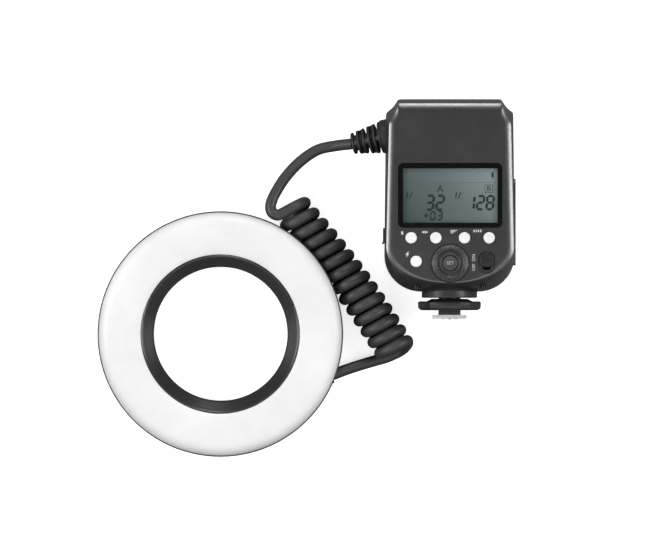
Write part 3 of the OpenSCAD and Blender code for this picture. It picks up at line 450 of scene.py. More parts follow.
def panel_levels(d, z0):
    """The panel's levels at inset d: the side leans in faster as it rises to a crease,
    then turns by 30 degrees into the flat face."""
    side = np.linspace(0, 1, 9)
    crease_z = BODY_D - ROLL_H - d
    rise = [(mid(d) + (crease(d) - mid(d)) * (0.596 * t + 0.404 * t * t), PART_Z + (crease_z - PART_Z) * t)
            for t in side]
    roll = [(crease(d) + (face(d) - crease(d)) * (1 - math.sin(a) / math.sin(TURN)),
             BODY_D - d - ROLL_H * (1 - math.cos(a)) / (1 - math.cos(TURN)))
            for a in np.linspace(TURN, 0, 13)[1:]]
    return ([(mid(d), z0)] if z0 < PART_Z else []) + rise + roll + [(face(d + 0.5), BODY_D - d)]


def back_levels(d, z1):
    """The back's levels at inset d: a round-over from the flat back to the side."""
    roll = [(back(d) + (mid(d) - back(d)) * math.sin(a), d + (BACK_ROUND - d) * (1 - math.cos(a)))
            for a in np.radians(np.linspace(0, 90, 15))]
    return [(back(d + 0.5), d)] + roll + [(mid(d), z) for z in (18, 25, 32, z1)]


def rounded(w, h, r, n=8):
    """Outline of a rectangle with rounded corners about the origin."""
    x, y = w / 2 - r, h / 2 - r
    return np.concatenate([arc(x, y, r, r, 0, 90, n), arc(-x, y, r, r, 90, 180, n),
                           arc(-x, -y, r, r, 180, 270, n), arc(x, -y, r, r, 270, 360, n)])


def slab(w, h, r, z0, z1, u, v, edge=0.0):
    """Rounded plate on the case at (u, v), with its top edge rolled by edge."""
    levels = [(0, z0)] + [(edge * (1 - math.cos(a)), z1 - edge + edge * math.sin(a))
                          for a in np.radians(np.linspace(0, 90, 6))] if edge else [(0, z0), (0, z1)]
    rings = [np.column_stack([rounded(w - 2 * i, h - 2 * i, r - i) + (u, v), np.full(32, z)]) + BODY
             for i, z in levels]
    return stack(rings)


def peg(r, z0, z1, u, v, sides=48):
    """Round pin on the case at (u, v) from z0 to z1."""
    return turned(lathe([(r, z0), (r, z1)], sides), BODY + (u, v, 0), (1, 0, 0), (0, 1, 0), (0, 0, 1))


def brick(x, y, z):
    """Block on the case between the bounds x, y and z."""
    return slab(x[1] - x[0], y[1] - y[0], 0.05, z[0], z[1], sum(x) / 2, sum(y) / 2)


def cut(obj, *shapes):
    """Takes the shapes out of obj for good, and marks its crisp edges again."""
    for shape in shapes:
        tool = piece("tool", shape, obj.data.materials[0])
        step = obj.modifiers.new("cut", "BOOLEAN")
        step.operation, step.solver, step.object = "DIFFERENCE", "EXACT", tool
        shown = obj.evaluated_get(bpy.context.evaluated_depsgraph_get())
        done = bpy.data.meshes.new_from_object(shown)
        obj.modifiers.clear()
        obj.data = done
        bpy.data.objects.remove(tool)
    obj.data.polygons.foreach_set("use_smooth", np.ones(len(obj.data.polygons), bool))
    obj.data.set_sharp_from_angle(angle=math.radians(28))


def eased(obj, width, segments=2, angle=40):
    """A small round on the crisp edges."""
    step = obj.modifiers.new("eased", "BEVEL")
    step.width, step.segments, step.limit_method = width * MM, segments, "ANGLE"
    step.angle_limit = math.radians(angle)
    step.harden_normals = True


case_black = moulded("case_black", (0.013, 0.013, 0.0135), 0.33, grain=3400.0, bump=0.04, IOR=1.7,
                     Specular_IOR_Level=1.0)
KEYS_U, KEYS_V = (-21.2, -7.8, 7.8, 21.2), 29.3
DIAL_V, TEST_U, TEST_V, SLIDE_U, SLIDE_V = 15.5, -18.5, 16.5, 19.9, 15.9
WINDOW_V = 52.3
CASE_POSTS = ((-27.5, 63), (27.5, 63), (-20, 96), (20, 96))
foot_hole = turned(lathe([(15.4, -1.2), (15.4, 6)], 96), BODY + (0, 0, 28), (1, 0, 0), (0, 0, 1), (0, -1, 0))
panel = piece("panel_shell", cased(panel_levels(0, PART_Z)), case_black, replaces=("panel_cover",))
cut(panel, cased(panel_levels(WALL, PART_Z - 1)), slab(56.8, 35.4, 3, 53, 58, 0, WINDOW_V),
    *[peg(3.35, 52, 58, u, v) for u, v in [(u, KEYS_V) for u in KEYS_U] + [(TEST_U, TEST_V)]],
    peg(10.6, 54.4, 58, 0, DIAL_V, 96), peg(5.7, 50, 58, 0, DIAL_V, 64),
    slab(9.7, 12.3, 4.6, 54.3, 58, SLIDE_U, SLIDE_V), slab(4.6, 8.2, 1.6, 52, 58, SLIDE_U, SLIDE_V),
    *[turned(lathe([(1.7, -1), (1.7, 7)], 32), BODY + (u, 0, 47.4), (1, 0, 0), (0, 0, -1), (0, 1, 0))
      for u in (-18.2, 18.2)], foot_hole)
eased(panel, 0.18)

# The back cover: the deeper half of the case, with the mouth for the battery on the
# right, the socket's window on the left, the assist window's seat and four screw holes
# in the back, and posts inside for the screws and the boards.
shell = piece("back_shell", cased(back_levels(0, PART_Z)), case_black, replaces=("back_cover",))
boot_hole = turned(lathe([(9.6, -6), (9.6, 6)], 96), CASE_BOOT_AT, down, across, case_way)
cut(shell, cased(back_levels(WALL, PART_Z + 1)), boot_hole, foot_hole,
    brick((31.9, 38), (14.1, 61.9), (8.3, 33.7)), brick((-36.5, -34.5), (26.2, 35), (18.6, 33.4)),
    brick((-36.5, -30.5), (28.7, 32.5), (21.1, 30.9)), slab(35.4, 17.4, 3, -1, 1.6, 0, 79),
    slab(30, 12, 2, -1, 4, 0, 79), *[peg(2.7, -1, 2.4, u, v) for u, v in CASE_POSTS],
    *[peg(1.25, -1, 4, u, v) for u, v in CASE_POSTS])
eased(shell, 0.25)


def pillar(u, v, r0, r1, z0, z1):
    """Hollow round post on the case."""
    hollow = lathe([(r0, z0), (r1, z0), (r1, z1), (r0, z1)], 32, True)
    return turned(hollow, BODY + (u, v, 0), (1, 0, 0), (0, 1, 0), (0, 0, 1))


piece("case_pillars", join(*[pillar(u, v, 1.25, 3, 2.0, 37) for u, v in CASE_POSTS],
                           *[brick((x, x + 2.4), (22, 54), (2.0, 7.6)) for x in (-18, 20)]),
      case_black)
piece("panel_pillars", join(*[pillar(u, v, 1.1, 2.4, 45.2, 54) for u, v in
                              ((-26, 21.5), (26, 21.5), (-27, 73), (27, 73))]),
      case_black)

# The window: one clear plastic plate stuck into the panel, printed black from behind
# round the edge. The display lies under it: a grey-green liquid crystal panel with
# dark figures, in front of its backlight tray.
PANE_U, PANE_V, PANE_HALF_W, PANE_HALF_H = 0.1, 52.25, 25.7, 14.85
INK_Z, INK_TOP = 53.84, 53.87


def gloss_window():
    """Black gloss border, and inside it a clear pane that mirrors a little."""
    material = bpy.data.materials.new("window_gloss")
    material.use_nodes = True
    tree = material.node_tree
    border = tree.nodes["Principled BSDF"]
    border.inputs["Base Color"].default_value = (0.004, 0.004, 0.004, 1)
    place = tree.nodes.new("ShaderNodeTexCoord")
    shift = maths(tree, "ShaderNodeVectorMath", "SUBTRACT")
    shift.inputs[1].default_value = ((BODY[0] + PANE_U) * MM, (BODY[1] + PANE_V) * MM, 0)
    size = maths(tree, "ShaderNodeVectorMath", "ABSOLUTE")
    split = tree.nodes.new("ShaderNodeSeparateXYZ")
    tree.links.new(place.outputs["Object"], shift.inputs[0])
    tree.links.new(shift.outputs[0], size.inputs[0])
    tree.links.new(size.outputs[0], split.inputs[0])
    inside = []
    for axis, half in (("X", PANE_HALF_W), ("Y", PANE_HALF_H)):
        less = sockets(tree, "ShaderNodeMapRange", From_Min=(half + 0.1) * MM, From_Max=(half - 0.1) * MM)
        tree.links.new(split.outputs[axis], less.inputs["Value"])
        inside.append(less)
    pane = maths(tree, "ShaderNodeMath", "MULTIPLY")
    tree.links.new(inside[0].outputs["Result"], pane.inputs[0])
    tree.links.new(inside[1].outputs["Result"], pane.inputs[1])
    clear = sockets(tree, "ShaderNodeBsdfTransparent", Color=(0.97, 0.98, 0.98, 1))
    sheen = tree.nodes.new("ShaderNodeBsdfGlossy")
    mirror = sockets(tree, "ShaderNodeFresnel", IOR=1.35)
    smear = sockets(tree, "ShaderNodeTexNoise", Scale=140.0, Detail=3.0)
    haze = sockets(tree, "ShaderNodeMapRange", From_Min=0.35, From_Max=0.75, To_Min=0.07, To_Max=0.16)
    tree.links.new(place.outputs["Object"], smear.inputs["Vector"])
    tree.links.new(smear.outputs["Fac"], haze.inputs["Value"])
    tree.links.new(haze.outputs["Result"], border.inputs["Roughness"])
    tree.links.new(haze.outputs["Result"], sheen.inputs["Roughness"])
    glass, whole = tree.nodes.new("ShaderNodeMixShader"), tree.nodes.new("ShaderNodeMixShader")
    side = tree.nodes.new("ShaderNodeNewGeometry")
    outer = maths(tree, "ShaderNodeMath", "SUBTRACT")
    outer.inputs[0].default_value = 1.0
    facing = maths(tree, "ShaderNodeMath", "MULTIPLY")
    tree.links.new(side.outputs["Backfacing"], outer.inputs[1])
    tree.links.new(outer.outputs[0], facing.inputs[0])
    tree.links.new(mirror.outputs[0], facing.inputs[1])
    tree.links.new(facing.outputs[0], glass.inputs[0])
    tree.links.new(clear.outputs[0], glass.inputs[1])
    tree.links.new(sheen.outputs[0], glass.inputs[2])
    tree.links.new(pane.outputs[0], whole.inputs[0])
    tree.links.new(border.outputs[0], whole.inputs[1])
    tree.links.new(glass.outputs[0], whole.inputs[2])
    tree.links.new(whole.outputs[0], tree.nodes["Material Output"].inputs[0])
    return material


piece("window_plate", slab(56.4, 35, 2.8, 54.0, 55.6, 0, WINDOW_V, 0.25), gloss_window(),
      replaces=("window",))


def crystal():
    """Grey-green panel, painted darker to the lower left and paler to the upper right as
    painted light, with the faint cells of its dots.
    """
    material = bpy.data.materials.new("display_crystal")
    material.use_nodes = True
    tree = material.node_tree
    body = tree.nodes["Principled BSDF"]
    body.inputs["Roughness"].default_value = 0.35
    place = tree.nodes.new("ShaderNodeTexCoord")
    # Painted light: the colour runs along this slant from dark at the lower left to pale at the upper right.
    lean = maths(tree, "ShaderNodeVectorMath", "DOT_PRODUCT")
    lean.inputs[1].default_value = (0.75, 0.66, 0)
    low, high = 0.75 * 52.4 + 0.66 * 29, 0.75 * 104.4 + 0.66 * 60.5
    along = sockets(tree, "ShaderNodeMapRange", From_Min=low * MM, From_Max=high * MM)
    ramp = tree.nodes.new("ShaderNodeValToRGB")
    ramp.color_ramp.elements[0].color = (0.048, 0.073, 0.073, 1)
    ramp.color_ramp.elements[1].color = (0.27, 0.32, 0.32, 1)
    ramp.color_ramp.elements.new(0.55).color = (0.135, 0.17, 0.17, 1)
    cells = sockets(tree, "ShaderNodeTexNoise", Scale=900.0, Detail=2.0)
    relief = sockets(tree, "ShaderNodeBump", Strength=0.04, Distance=0.0001)
    tree.links.new(place.outputs["Object"], lean.inputs[0])
    tree.links.new(lean.outputs["Value"], along.inputs["Value"])
    tree.links.new(along.outputs["Result"], ramp.inputs[0])
    tree.links.new(ramp.outputs[0], body.inputs["Base Color"])
    tree.links.new(place.outputs["Object"], cells.inputs["Vector"])
    tree.links.new(cells.outputs["Fac"], relief.inputs["Height"])
    tree.links.new(relief.outputs["Normal"], body.inputs["Normal"])
    return material


piece("display_panel", slab(52, 30.8, 1, 51.6, 53.8, 0, WINDOW_V), crystal(),
      replaces=("display_glass",))

SEGMENTS = {"a": ((0, 2), (1, 2)), "b": ((1, 2), (1, 1)), "c": ((1, 1), (1, 0)), "d": ((0, 0), (1, 0)),
            "e": ((0, 1), (0, 0)), "f": ((0, 2), (0, 1)), "g": ((0, 1), (1, 1))}
DIGITS = {"0": "abcdef", "1": "bc", "2": "abged", "3": "abgcd", "8": "abcdefg"}


def bar(p, q, width, gap=0.12):
    """Outline of one segment from p to q with pointed ends."""
    p, q = np.array(p, float), np.array(q, float)
    way = (q - p) / np.linalg.norm(q - p)
    side = np.array([-way[1], way[0]]) * width / 2
    a, b = p + way * gap, q - way * gap
    return np.array([a, a + way * width / 2 - side, b - way * width / 2 - side, b,
                     b - way * width / 2 + side, a + way * width / 2 + side])


def flat(outline, z0, z1):
    """Thin plate on the case with that outline in (u, v)."""
    o = np.asarray(outline, float)
    return stack([np.column_stack([o, np.full(len(o), z)]) + BODY for z in (z0, z1)])


def figures(text, u, v, wide, tall, gap, width, lean=0.1):
    """Seven-segment figures from (u, v), each wide by tall and leaning to the right."""
    shapes = []
    for n, digit in enumerate(text):
        for key in DIGITS[digit]:
            ends = np.array(SEGMENTS[key], float) * (wide, tall / 2)
            o = bar(ends[0], ends[1], width)
            x = o[:, 0] + lean * o[:, 1] + u + n * (wide + gap)
            shapes.append(flat(np.column_stack([x, o[:, 1] + v]), INK_Z, INK_TOP))
    return shapes


ink = moulded("display_ink", (0.012, 0.016, 0.02), 0.5, bump=0.02)
pale_ink = moulded("display_pale_ink", (0.06, 0.085, 0.085), 0.5, bump=0.02)


def at(px, py):
    """Place on the case of a point of the photograph, in (u, v)."""
    return (px - 306.35) / PX_PER_MM - BODY[0], (278.3 - py) / PX_PER_MM - BODY[1]


u, v = at(425.5, 210.0)
signs = figures("32", u, v, 3.6, 7.6, 1.9, 1.35)
u, v = at(429.8, 220.0)
signs += figures("0", u, v, 2.2, 4.3, 1.2, 0.95)
u, v = at(437.0, 220.0)
signs += figures("3", u, v, 2.2, 4.3, 1.2, 0.95)
u, v = at(424.2, 215.9)
signs += [flat(rounded(2.6, 0.75, 0.1, 8) + (u + 0.8, v), INK_Z, INK_TOP),
          flat(rounded(0.85, 2.5, 0.1, 8) + (u + 0.8, v), INK_Z + 0.005, INK_TOP + 0.005)]
u, v = at(435.2, 219.8)
signs += [flat(rounded(0.6, 0.6, 0.2, 8) + (u, v + 0.3), INK_Z, INK_TOP)]
for px in (406.2, 454.8):
    u, v = at(px, 199.0)
    signs += [flat(bar((u + 0.1, v), (u + 0.55, v + 3.5), 0.6, 0), INK_Z, INK_TOP)]
    signs += [flat(bar((u + 1.3, v - 0.3), (u + 3.1, v + 3.7), 0.5), INK_Z, INK_TOP)]
u, v = at(491.7, 175.8)
signs += [flat(rounded(1.1, 2.6, 0.2) + (u, v), INK_Z, INK_TOP),
          flat(rounded(0.6, 0.4, 0.1) + (u, v + 1.55), INK_Z, INK_TOP)]
u, v = at(466.5, 209.6)
signs += figures("128", u, v, 3.4, 7.2, 1.8, 1.3)
piece("display_figures", join(*signs), ink)
u, v = at(449.6, 223.0)
dots = [flat(rounded(0.28, 0.28, 0.1) + (u, v + 0.8 * i), INK_Z, INK_Z + 0.02) for i in range(27)]
u, v = at(405.5, 183.0)
rule = [flat(rounded(0.5, 0.2, 0.08) + (u + 0.8 * i, v), INK_Z, INK_Z + 0.02) for i in range(62)]
piece("display_rules", join(*dots, *rule), pale_ink)


def lettering(name, text, size, u, v, z, material, body="flash", thick=0.03, upright=True):
    """A word as thin raised print, centred at (u, v) on the case, or run up the case."""
    data = bpy.data.curves.new(name, "FONT")
    data.body, data.size, data.align_x, data.align_y = text, size * MM, "CENTER", "CENTER"
    data.extrude, data.resolution_u = thick * MM / 2, 3
    words = bpy.data.objects.new(name + "_curve", data)
    scene.collection.objects.link(words)
    mesh = bpy.data.meshes.new_from_object(words.evaluated_get(bpy.context.evaluated_depsgraph_get()))
    bpy.data.objects.remove(words)
    spots = np.zeros(len(mesh.vertices) * 3)
    mesh.vertices.foreach_get("co", spots)
    spots = spots.reshape(-1, 3) / MM
    if not upright:
        spots = spots[:, [1, 0, 2]] * (-1, 1, 1)
    spots += BODY + (u, v, z + thick / 2)
    shape = spots, [list(f.vertices) for f in mesh.polygons]
    bpy.data.meshes.remove(mesh)
    return piece(name, shape, material, body, smooth=30)


lettering("display_a", "A", 5.4, *at(439.6, 189.5), INK_Z, ink)
lettering("display_b", "B", 4.2, *at(488.0, 189.2), INK_Z, ink)
u, v = at(488.0, 189.2)
FRAME_W, LINE_W, FRAME_HALF = 4.4, 0.25, 2.1
sides = ((FRAME_W, LINE_W, 0, FRAME_HALF), (FRAME_W, LINE_W, 0, -FRAME_HALF),
         (LINE_W, FRAME_W, FRAME_HALF, 0), (LINE_W, FRAME_W, -FRAME_HALF, 0))
frame_line = join(*[flat(rounded(w, h, 0.05) + (u + x, v + y), INK_Z, INK_TOP) for w, h, x, y in sides])
piece("display_frame", frame_line, ink)

# The buttons: five round white caps with a shallow dish, each on a flange under the
# panel that keeps it in and a foot that stands over its switch.
key_white = moulded("key_white", (0.86, 0.86, 0.86), 0.38, bump=0.06, spread=0.1)


def key(u, v):
    """Lathe of a button: foot, flange, straight cap, rolled edge and dished top."""
    r = np.linspace(2.3, 0.3, 6)
    dish = np.column_stack([r, 56.8 + 9.5 - np.sqrt(9.7 ** 2 - r ** 2) + 0.06])
    profile = np.concatenate([[(1.5, 49.5), (1.5, 52.8), (3.9, 52.8), (3.9, 53.6), (3.1, 53.6), (3.1, 56.3)],
                              arc(2.65, 56.35, 0.45, 0.45, 0, 90, 7)[1:], dish])
    return turned(lathe(profile, 64), BODY + (u, v, 0), (1, 0, 0), (0, 1, 0), (0, 0, 1))


for n, u in enumerate(KEYS_U):
    name = "function_button_%d" % (n + 1)
    piece("key_cap_%d" % (n + 1), key(u, KEYS_V), key_white, name, (name,))
piece("key_cap_test", key(TEST_U, TEST_V), key_white, "test_button", ("test_button",))

# The select dial: a black moulded ring with 48 radial ridges on its sloping rim and
# a dished track for the finger. It turns on its hollow hub round the set button.
trim_black = moulded("trim_black", (0.027, 0.027, 0.028), 0.42, bump=0.1)
dial_black = moulded("dial_black", (0.035, 0.035, 0.036), 0.44, bump=0.05, Specular_IOR_Level=0.9)


RIDGES, RIDGE_DEPTH = 48, 0.55


def dial():
    """Lathe of the dial, whose rim sinks by a rounded wave 48 times a turn."""
    profile = np.concatenate([
        [(10.2, 54.6), (10.2, 55.6), (10.15, 56.2)], arc(9.7, 56.3, 0.45, 0.3, 0, 70, 4),
        [(9.3, 56.85), (8.8, 57.1)], arc(8.1, 57.0, 0.5, 0.4, 60, 120, 5), [(7.2, 57.05), (6.8, 56.7)],
        arc(6.2, 56.75, 0.6, 0.6, -20, -100, 7)[1:], [(5.6, 56.2), (5.2, 56.5)],
        arc(4.85, 56.45, 0.35, 0.3, 30, 170, 6), [(4.3, 56.2), (4.3, 50.2), (5.3, 50.2), (5.3, 54.6)]])
    points, faces = lathe(profile, 720, True)
    a = np.arctan2(points[:, 1], points[:, 0])
    r = np.hypot(points[:, 0], points[:, 1])
    rim = np.clip((r - 5.5) / 0.4, 0, 1) * np.clip((10.3 - r) / 0.3, 0, 1) * (points[:, 2] > 55.9)
    points[:, 2] -= RIDGE_DEPTH * rim * np.clip(0.5 - 1.1 * np.cos(RIDGES * a), 0, 1)
    return turned((points, faces), BODY + (0, DIAL_V, 0), (1, 0, 0), (0, 1, 0), (0, 0, 1))


piece("dial_ring", dial(), dial_black, "select_dial", ("select_dial",), 50)
r = np.linspace(3.5, 0.3, 9)
cap = np.concatenate([[(1.8, 49.5), (1.8, 53.8), (4.05, 53.8), (4.05, 56.9)],
                      arc(3.7, 56.95, 0.35, 0.35, 0, 90, 6)[1:],
                      np.column_stack([r, 57.3 + 14.6 - np.sqrt(15 ** 2 - r ** 2) + 0.02])])
piece("set_cap", turned(lathe(cap, 96), BODY + (0, DIAL_V, 0), (1, 0, 0), (0, 1, 0), (0, 0, 1)), dial_black,
      "set_button", ("set_button",))
print_grey = moulded("print_grey", (0.45, 0.45, 0.45), 0.55, bump=0.02)
lettering("set_print", "SET", 2.5, 0, DIAL_V, 57.02, print_grey, "set_button")

# The power switch: a ribbed sliding knob in a sunk slot, with a tongue down to the
# slide switch on the key board.
knob_black = moulded("knob_black", (0.014, 0.014, 0.015), 0.45, bump=0.1)
knob_v = SLIDE_V + 1.5
ribs = [slab(5.2, 0.7, 0.3, 55.8, 56.75, SLIDE_U, knob_v + 1.5 * i, 0.25) for i in (-1, 0, 1)]
piece("switch_knob", join(slab(7.4, 8.1, 3.2, 55.0, 56.3, SLIDE_U, knob_v, 0.5), *ribs,
                          brick((SLIDE_U - 1.6, SLIDE_U + 1.6), (knob_v - 1.8, knob_v + 1.8), (49.4, 55.2))),
      knob_black, "power_slider", ("power_slider",))

# The prints on the panel: thin pale symbols beside the buttons and the words by the
# switch, as thin raised ink.
print_white = moulded("print_white", (0.62, 0.62, 0.62), 0.55, bump=0.02)
PRINT_Z, PRINT_TOP = 56.005, 56.035
signs = []
u, v = at(401.8, 233.2)
signs += [flat(rounded(1.1, 1.7, 0.3) + (u, v), PRINT_Z, PRINT_TOP)]
u, v = at(424.3, 232.4)
signs += [flat([(u - 1.9, v), (u - 0.2, v - 0.75), (u - 0.2, v + 0.75)], PRINT_Z, PRINT_TOP),
          flat([(u + 0.2, v - 0.75), (u + 1.9, v), (u + 0.2, v + 0.75)], PRINT_Z, PRINT_TOP)]
u, v = at(453.1, 231.7)
signs += [flat(rounded(w, 0.4, 0.1) + (u + x, v + y), PRINT_Z, PRINT_TOP)
          for w, x, y in ((3.6, 0, 0.6), (2.6, -0.5, -0.1), (1.6, -1.0, -0.8))]
u, v = at(476.8, 231.2)
signs += [flat(rounded(0.7, 1.3, 0.1) + (u + x, v), PRINT_Z, PRINT_TOP) for x in (-1.9, -0.7, 0.5, 1.7)]
u, v = at(406.9, 254.6)
signs += [flat(np.array([(0.4, 1.6), (-1.1, -0.2), (-0.2, -0.2), (-0.7, -1.7), (1.1, 0.4), (0.1, 0.4),
                         (0.9, 1.6)])[::-1] + (u, v), PRINT_Z, PRINT_TOP)]
piece("panel_signs", join(*signs), print_white, smooth=30)
lettering("switch_on", "ON", 2.5, *at(473.0, 257.8), PRINT_Z, print_white, upright=False)
lettering("switch_off", "OFF", 2.2, *at(473.0, 267.3), PRINT_Z, print_white, upright=False)

# The foot: a round collar under the case, the lobed lock wheel that turns on the neck,
# and the shoe plate in bright metal with its lock pin and contacts.
FOOT_AXES = (1, 0, 0), (0, 0, 1), (0, -1, 0)
FOOT = BODY + (0, 0, 28)
collar = np.concatenate([[(15.2, -1), (15.15, 0.6)], arc(14.5, 2.8, 0.6, 0.6, 0, 90, 6), [(7, 3.4)]])
piece("collar_ring", turned(lathe(collar, 128), FOOT, *FOOT_AXES), trim_black,
      replaces=("base_collar",))


RIM, SCOOP_R, SCOOP_AT, RIBS, WHEEL_STEPS = 17.25, 20, 35.1, 120, 720


def wheel():
    """Levels of the lock wheel: its radius is the least of the rim and six wide arcs
    that scoop it, with fine ribs where the rim is left, and each level has its inset."""
    a = np.linspace(0, 2 * np.pi, WHEEL_STEPS, endpoint=False)
    d = (a - np.pi / 2 + np.pi / 6) % (np.pi / 3) - np.pi / 6
    scoop = SCOOP_AT * np.cos(d) - np.sqrt(np.maximum(SCOOP_R ** 2 - (SCOOP_AT * np.sin(d)) ** 2, 0))
    rim = np.minimum(RIM + 0.05, scoop)
    rim = RIM - np.logaddexp(0, (RIM - rim - 0.25) * 6) / 6
    ribs = 0.16 * np.clip((rim - 16.6) / 0.4, 0, 1) * (0.5 - 0.5 * np.cos(RIBS * a))
    levels = [(None, 6.4, 3.9), (None, 9.6, 3.9), (None, 10, 4.0), (None, 12.4, 5.2), (None, 12.8, 5.3),
              (1.0, 0, 5.3), (0.45, 0, 5.45), (0.1, 0, 5.9), (0.0, 1, 6.4), (0.15, 1, 8.8), (0.5, 0, 9.3),
              (1.3, 0, 9.9), (2.3, 0, 10.2), (None, 6.4, 10.2)]
    rings = []
    for inset, r, z in levels:
        radius = np.full_like(a, r) if inset is None else rim - inset - ribs * r
        rings.append(np.column_stack([radius * np.cos(a), radius * np.sin(a), np.full_like(a, z)]))
    rings = np.array(rings)
    return turned((rings.reshape(-1, 3), quads(len(levels), WHEEL_STEPS, True)), FOOT, *FOOT_AXES)


piece("wheel_ring", wheel(), trim_black, "lock_wheel", ("lock_wheel",), 40)

# The ring head: a milky diffuser with a rolled rim, clipped onto the dark tapered
# housing whose edge shows as a thin line round it, and a ridged black cone that lines
# the way to the lens.
RING = np.array([-47.1, -30.5, 0])
RIM_R, RING_H, LIP_Z, RIM_LINE, RIDGE_STEP = 67.2, 29, 22.5, 0.7, 0.0006


def from_axis(tree):
    """Nodes for the level way from the ring's axis to a point, and for its length."""
    place = tree.nodes.new("ShaderNodeTexCoord")
    shift = maths(tree, "ShaderNodeVectorMath", "SUBTRACT")
    shift.inputs[1].default_value = tuple(RING * MM)
    level = maths(tree, "ShaderNodeVectorMath", "MULTIPLY")
    level.inputs[1].default_value = (1, 1, 0)
    out = maths(tree, "ShaderNodeVectorMath", "LENGTH")
    tree.links.new(place.outputs["Object"], shift.inputs[0])
    tree.links.new(shift.outputs[0], level.inputs[0])
    tree.links.new(level.outputs[0], out.inputs[0])
    return level, out


def milky():
    """Milky plastic with a faint cloud and a fine grain. Its rolled rim is painted a
    little greyer, as painted shade."""
    material = moulded("diffuser_milk", (0.86, 0.86, 0.86), 0.42, grain=2200.0, bump=0.05, drift=25.0,
                       spread=0.1)
    tree = material.node_tree
    body = tree.nodes["Principled BSDF"]
    out = from_axis(tree)[1]
    # Painted shade: the colour falls by 6 per cent over the rolled rim.
    rim = sockets(tree, "ShaderNodeMapRange", From_Min=0.062, From_Max=0.0668, To_Min=1.0, To_Max=0.94)
    rim.interpolation_type = "SMOOTHSTEP"
    shade = maths(tree, "ShaderNodeVectorMath", "SCALE")
    tree.links.new(out.outputs["Value"], rim.inputs["Value"])
    tree.links.new(body.inputs["Base Color"].links[0].from_socket, shade.inputs[0])
    tree.links.new(rim.outputs["Result"], shade.inputs["Scale"])
    tree.links.new(shade.outputs[0], body.inputs["Base Color"])
    return material


def crown(d):
    """Outer side of the diffuser at inset d, from the inner edge over a shallow crown
    to the rolled rim and down to the lip."""
    rise = np.array([(43.6 + d, 27.2 - d), (44.4, 27.6 - d), (46.4, 28.1 - d), (50.5, 28.9 - d)])
    roll = arc(RIM_R - RIM_LINE - 7, RING_H - 5 - d / 2, 7 - d, 5 - d / 2, 90, 0, 22)
    return np.concatenate([rise, roll, [(RIM_R - RIM_LINE - d, LIP_Z)]])


outer, inner = crown(0), crown(2)
profile = np.concatenate([[(43.6, LIP_Z)], outer, inner[::-1], [(45.6, LIP_Z)]])[::-1]
piece("diffuser_shell", turned(lathe(profile, 256, True), RING, (1, 0, 0), (0, 1, 0), (0, 0, 1)), milky(),
      replaces=("ring_diffuser",), smooth=40)


def ridged_black():
    """Black plastic with fine turned ridges round the ring's axis, which draw the
    highlights out across them."""
    material = moulded("trim_ridged", (0.016, 0.016, 0.0165), 0.34, bump=0.06, Anisotropic=0.92,
                       Specular_IOR_Level=1.0)
    tree = material.node_tree
    body = tree.nodes["Principled BSDF"]
    unit = maths(tree, "ShaderNodeVectorMath", "NORMALIZE")
    level, out = from_axis(tree)
    scale = maths(tree, "ShaderNodeMath", "MULTIPLY")
    scale.inputs[1].default_value = 2 * math.pi / RIDGE_STEP
    wave = maths(tree, "ShaderNodeMath", "SINE")
    relief = sockets(tree, "ShaderNodeBump", Strength=0.3, Distance=0.00012)
    tree.links.new(level.outputs[0], unit.inputs[0])
    tree.links.new(unit.outputs[0], body.inputs["Tangent"])
    tree.links.new(out.outputs["Value"], scale.inputs[0])
    tree.links.new(scale.outputs[0], wave.inputs[0])
    tree.links.new(wave.outputs[0], relief.inputs["Height"])
    tree.links.new(body.inputs["Normal"].links[0].from_socket, relief.inputs["Normal"])
    tree.links.new(relief.outputs["Normal"], body.inputs["Normal"])
    return material


cone = np.concatenate([[(37.2, 7.1), (39.0, 7.1), (39.0, 21.7), (41.2, 21.7), (43.4, 26.0), (43.4, 26.9)],
                       arc(42.7, 26.95, 0.7, 0.35, 0, 90, 5), [(42.2, 27.15)],
                       np.column_stack([np.linspace(42.0, 37.2, 14), np.linspace(26.9, 19.4, 14)])])
piece("trim_cone", turned(lathe(cone, 256, True), RING, (1, 0, 0), (0, 1, 0), (0, 0, 1)), ridged_black(),
      replaces=("inner_trim",), smooth=40)

# The pieces that keep their CAD shape: outside, the housing, the battery and its cap,
# the port cover, the screws and the shoe; inside, the boards and the flash parts.


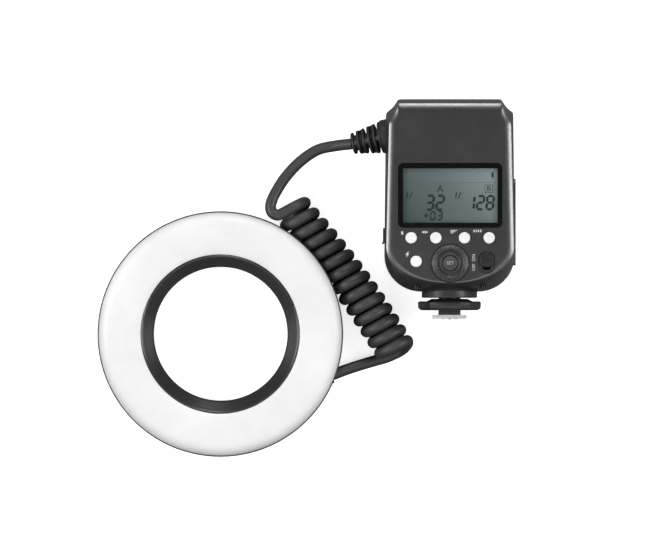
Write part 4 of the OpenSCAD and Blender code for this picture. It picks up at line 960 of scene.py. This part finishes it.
def finish_of(name, material):
    """Gives a CAD node that finish."""
    nodes[name].data.materials.clear()
    nodes[name].data.materials.append(material)


def metal(name, colour, rough):
    """Metal with a coarse drift in its polish."""
    return moulded(name, colour, rough, grain=900.0, bump=0.05, drift=180.0, spread=0.25, Metallic=1.0)


bright = metal("shoe_bright", (0.85, 0.85, 0.86), 0.5)
steel = metal("steel", (0.45, 0.45, 0.46), 0.32)
gold = metal("contact_gold", (0.75, 0.52, 0.2), 0.3)
screw_black = metal("screw_black", (0.03, 0.03, 0.032), 0.45)
winding = metal("winding", (0.55, 0.28, 0.1), 0.35)
tray = metal("mirror_tray", (0.75, 0.76, 0.77), 0.2)
board_green = moulded("board_green", (0.012, 0.07, 0.03), 0.35, grain=700.0, bump=0.2, drift=300.0)
part_grey = moulded("part_grey", (0.16, 0.16, 0.17), 0.5)
part_pale = moulded("part_pale", (0.6, 0.6, 0.58), 0.5)
can_blue = moulded("can_blue", (0.02, 0.03, 0.06), 0.3)
tube_glass = moulded("tube_glass", (0.75, 0.78, 0.8), 0.08, bump=0.01, Transmission_Weight=0.6)
red_window = moulded("red_window", (0.09, 0.004, 0.006), 0.1, bump=0.01)
port_rubber = moulded("port_rubber", (0.016, 0.016, 0.017), 0.55, bump=0.15)
for material, names in (
        (case_black, ("ring_housing", "battery")), (trim_black, ("shoe_block", "adapter_ring")),
        (bright, ("shoe_plate",)), (steel, ("lock_pin", "usb_socket", "board_screws")),
        (gold, ("contact_pins", "battery_contacts")), (screw_black, ("case_screws", "ring_screws")),
        (winding, ("transformer", "trigger_coil")), (tray, ("reflector",)),
        (board_green, ("key_board", "main_board", "ring_board")),
        (part_grey, ("slide_switch", "button_switches", "dial_encoder", "battery_tray", "release_yoke_1",
                     "release_yoke_2")),
        (part_pale, ("backlight", "tube_holders")), (can_blue, ("flash_capacitor",)),
        (tube_glass, ("flash_tube_1", "flash_tube_2")), (red_window, ("assist_window",)),
        (port_rubber, ("port_cover",))):
    for name in names:
        finish_of(name, material)
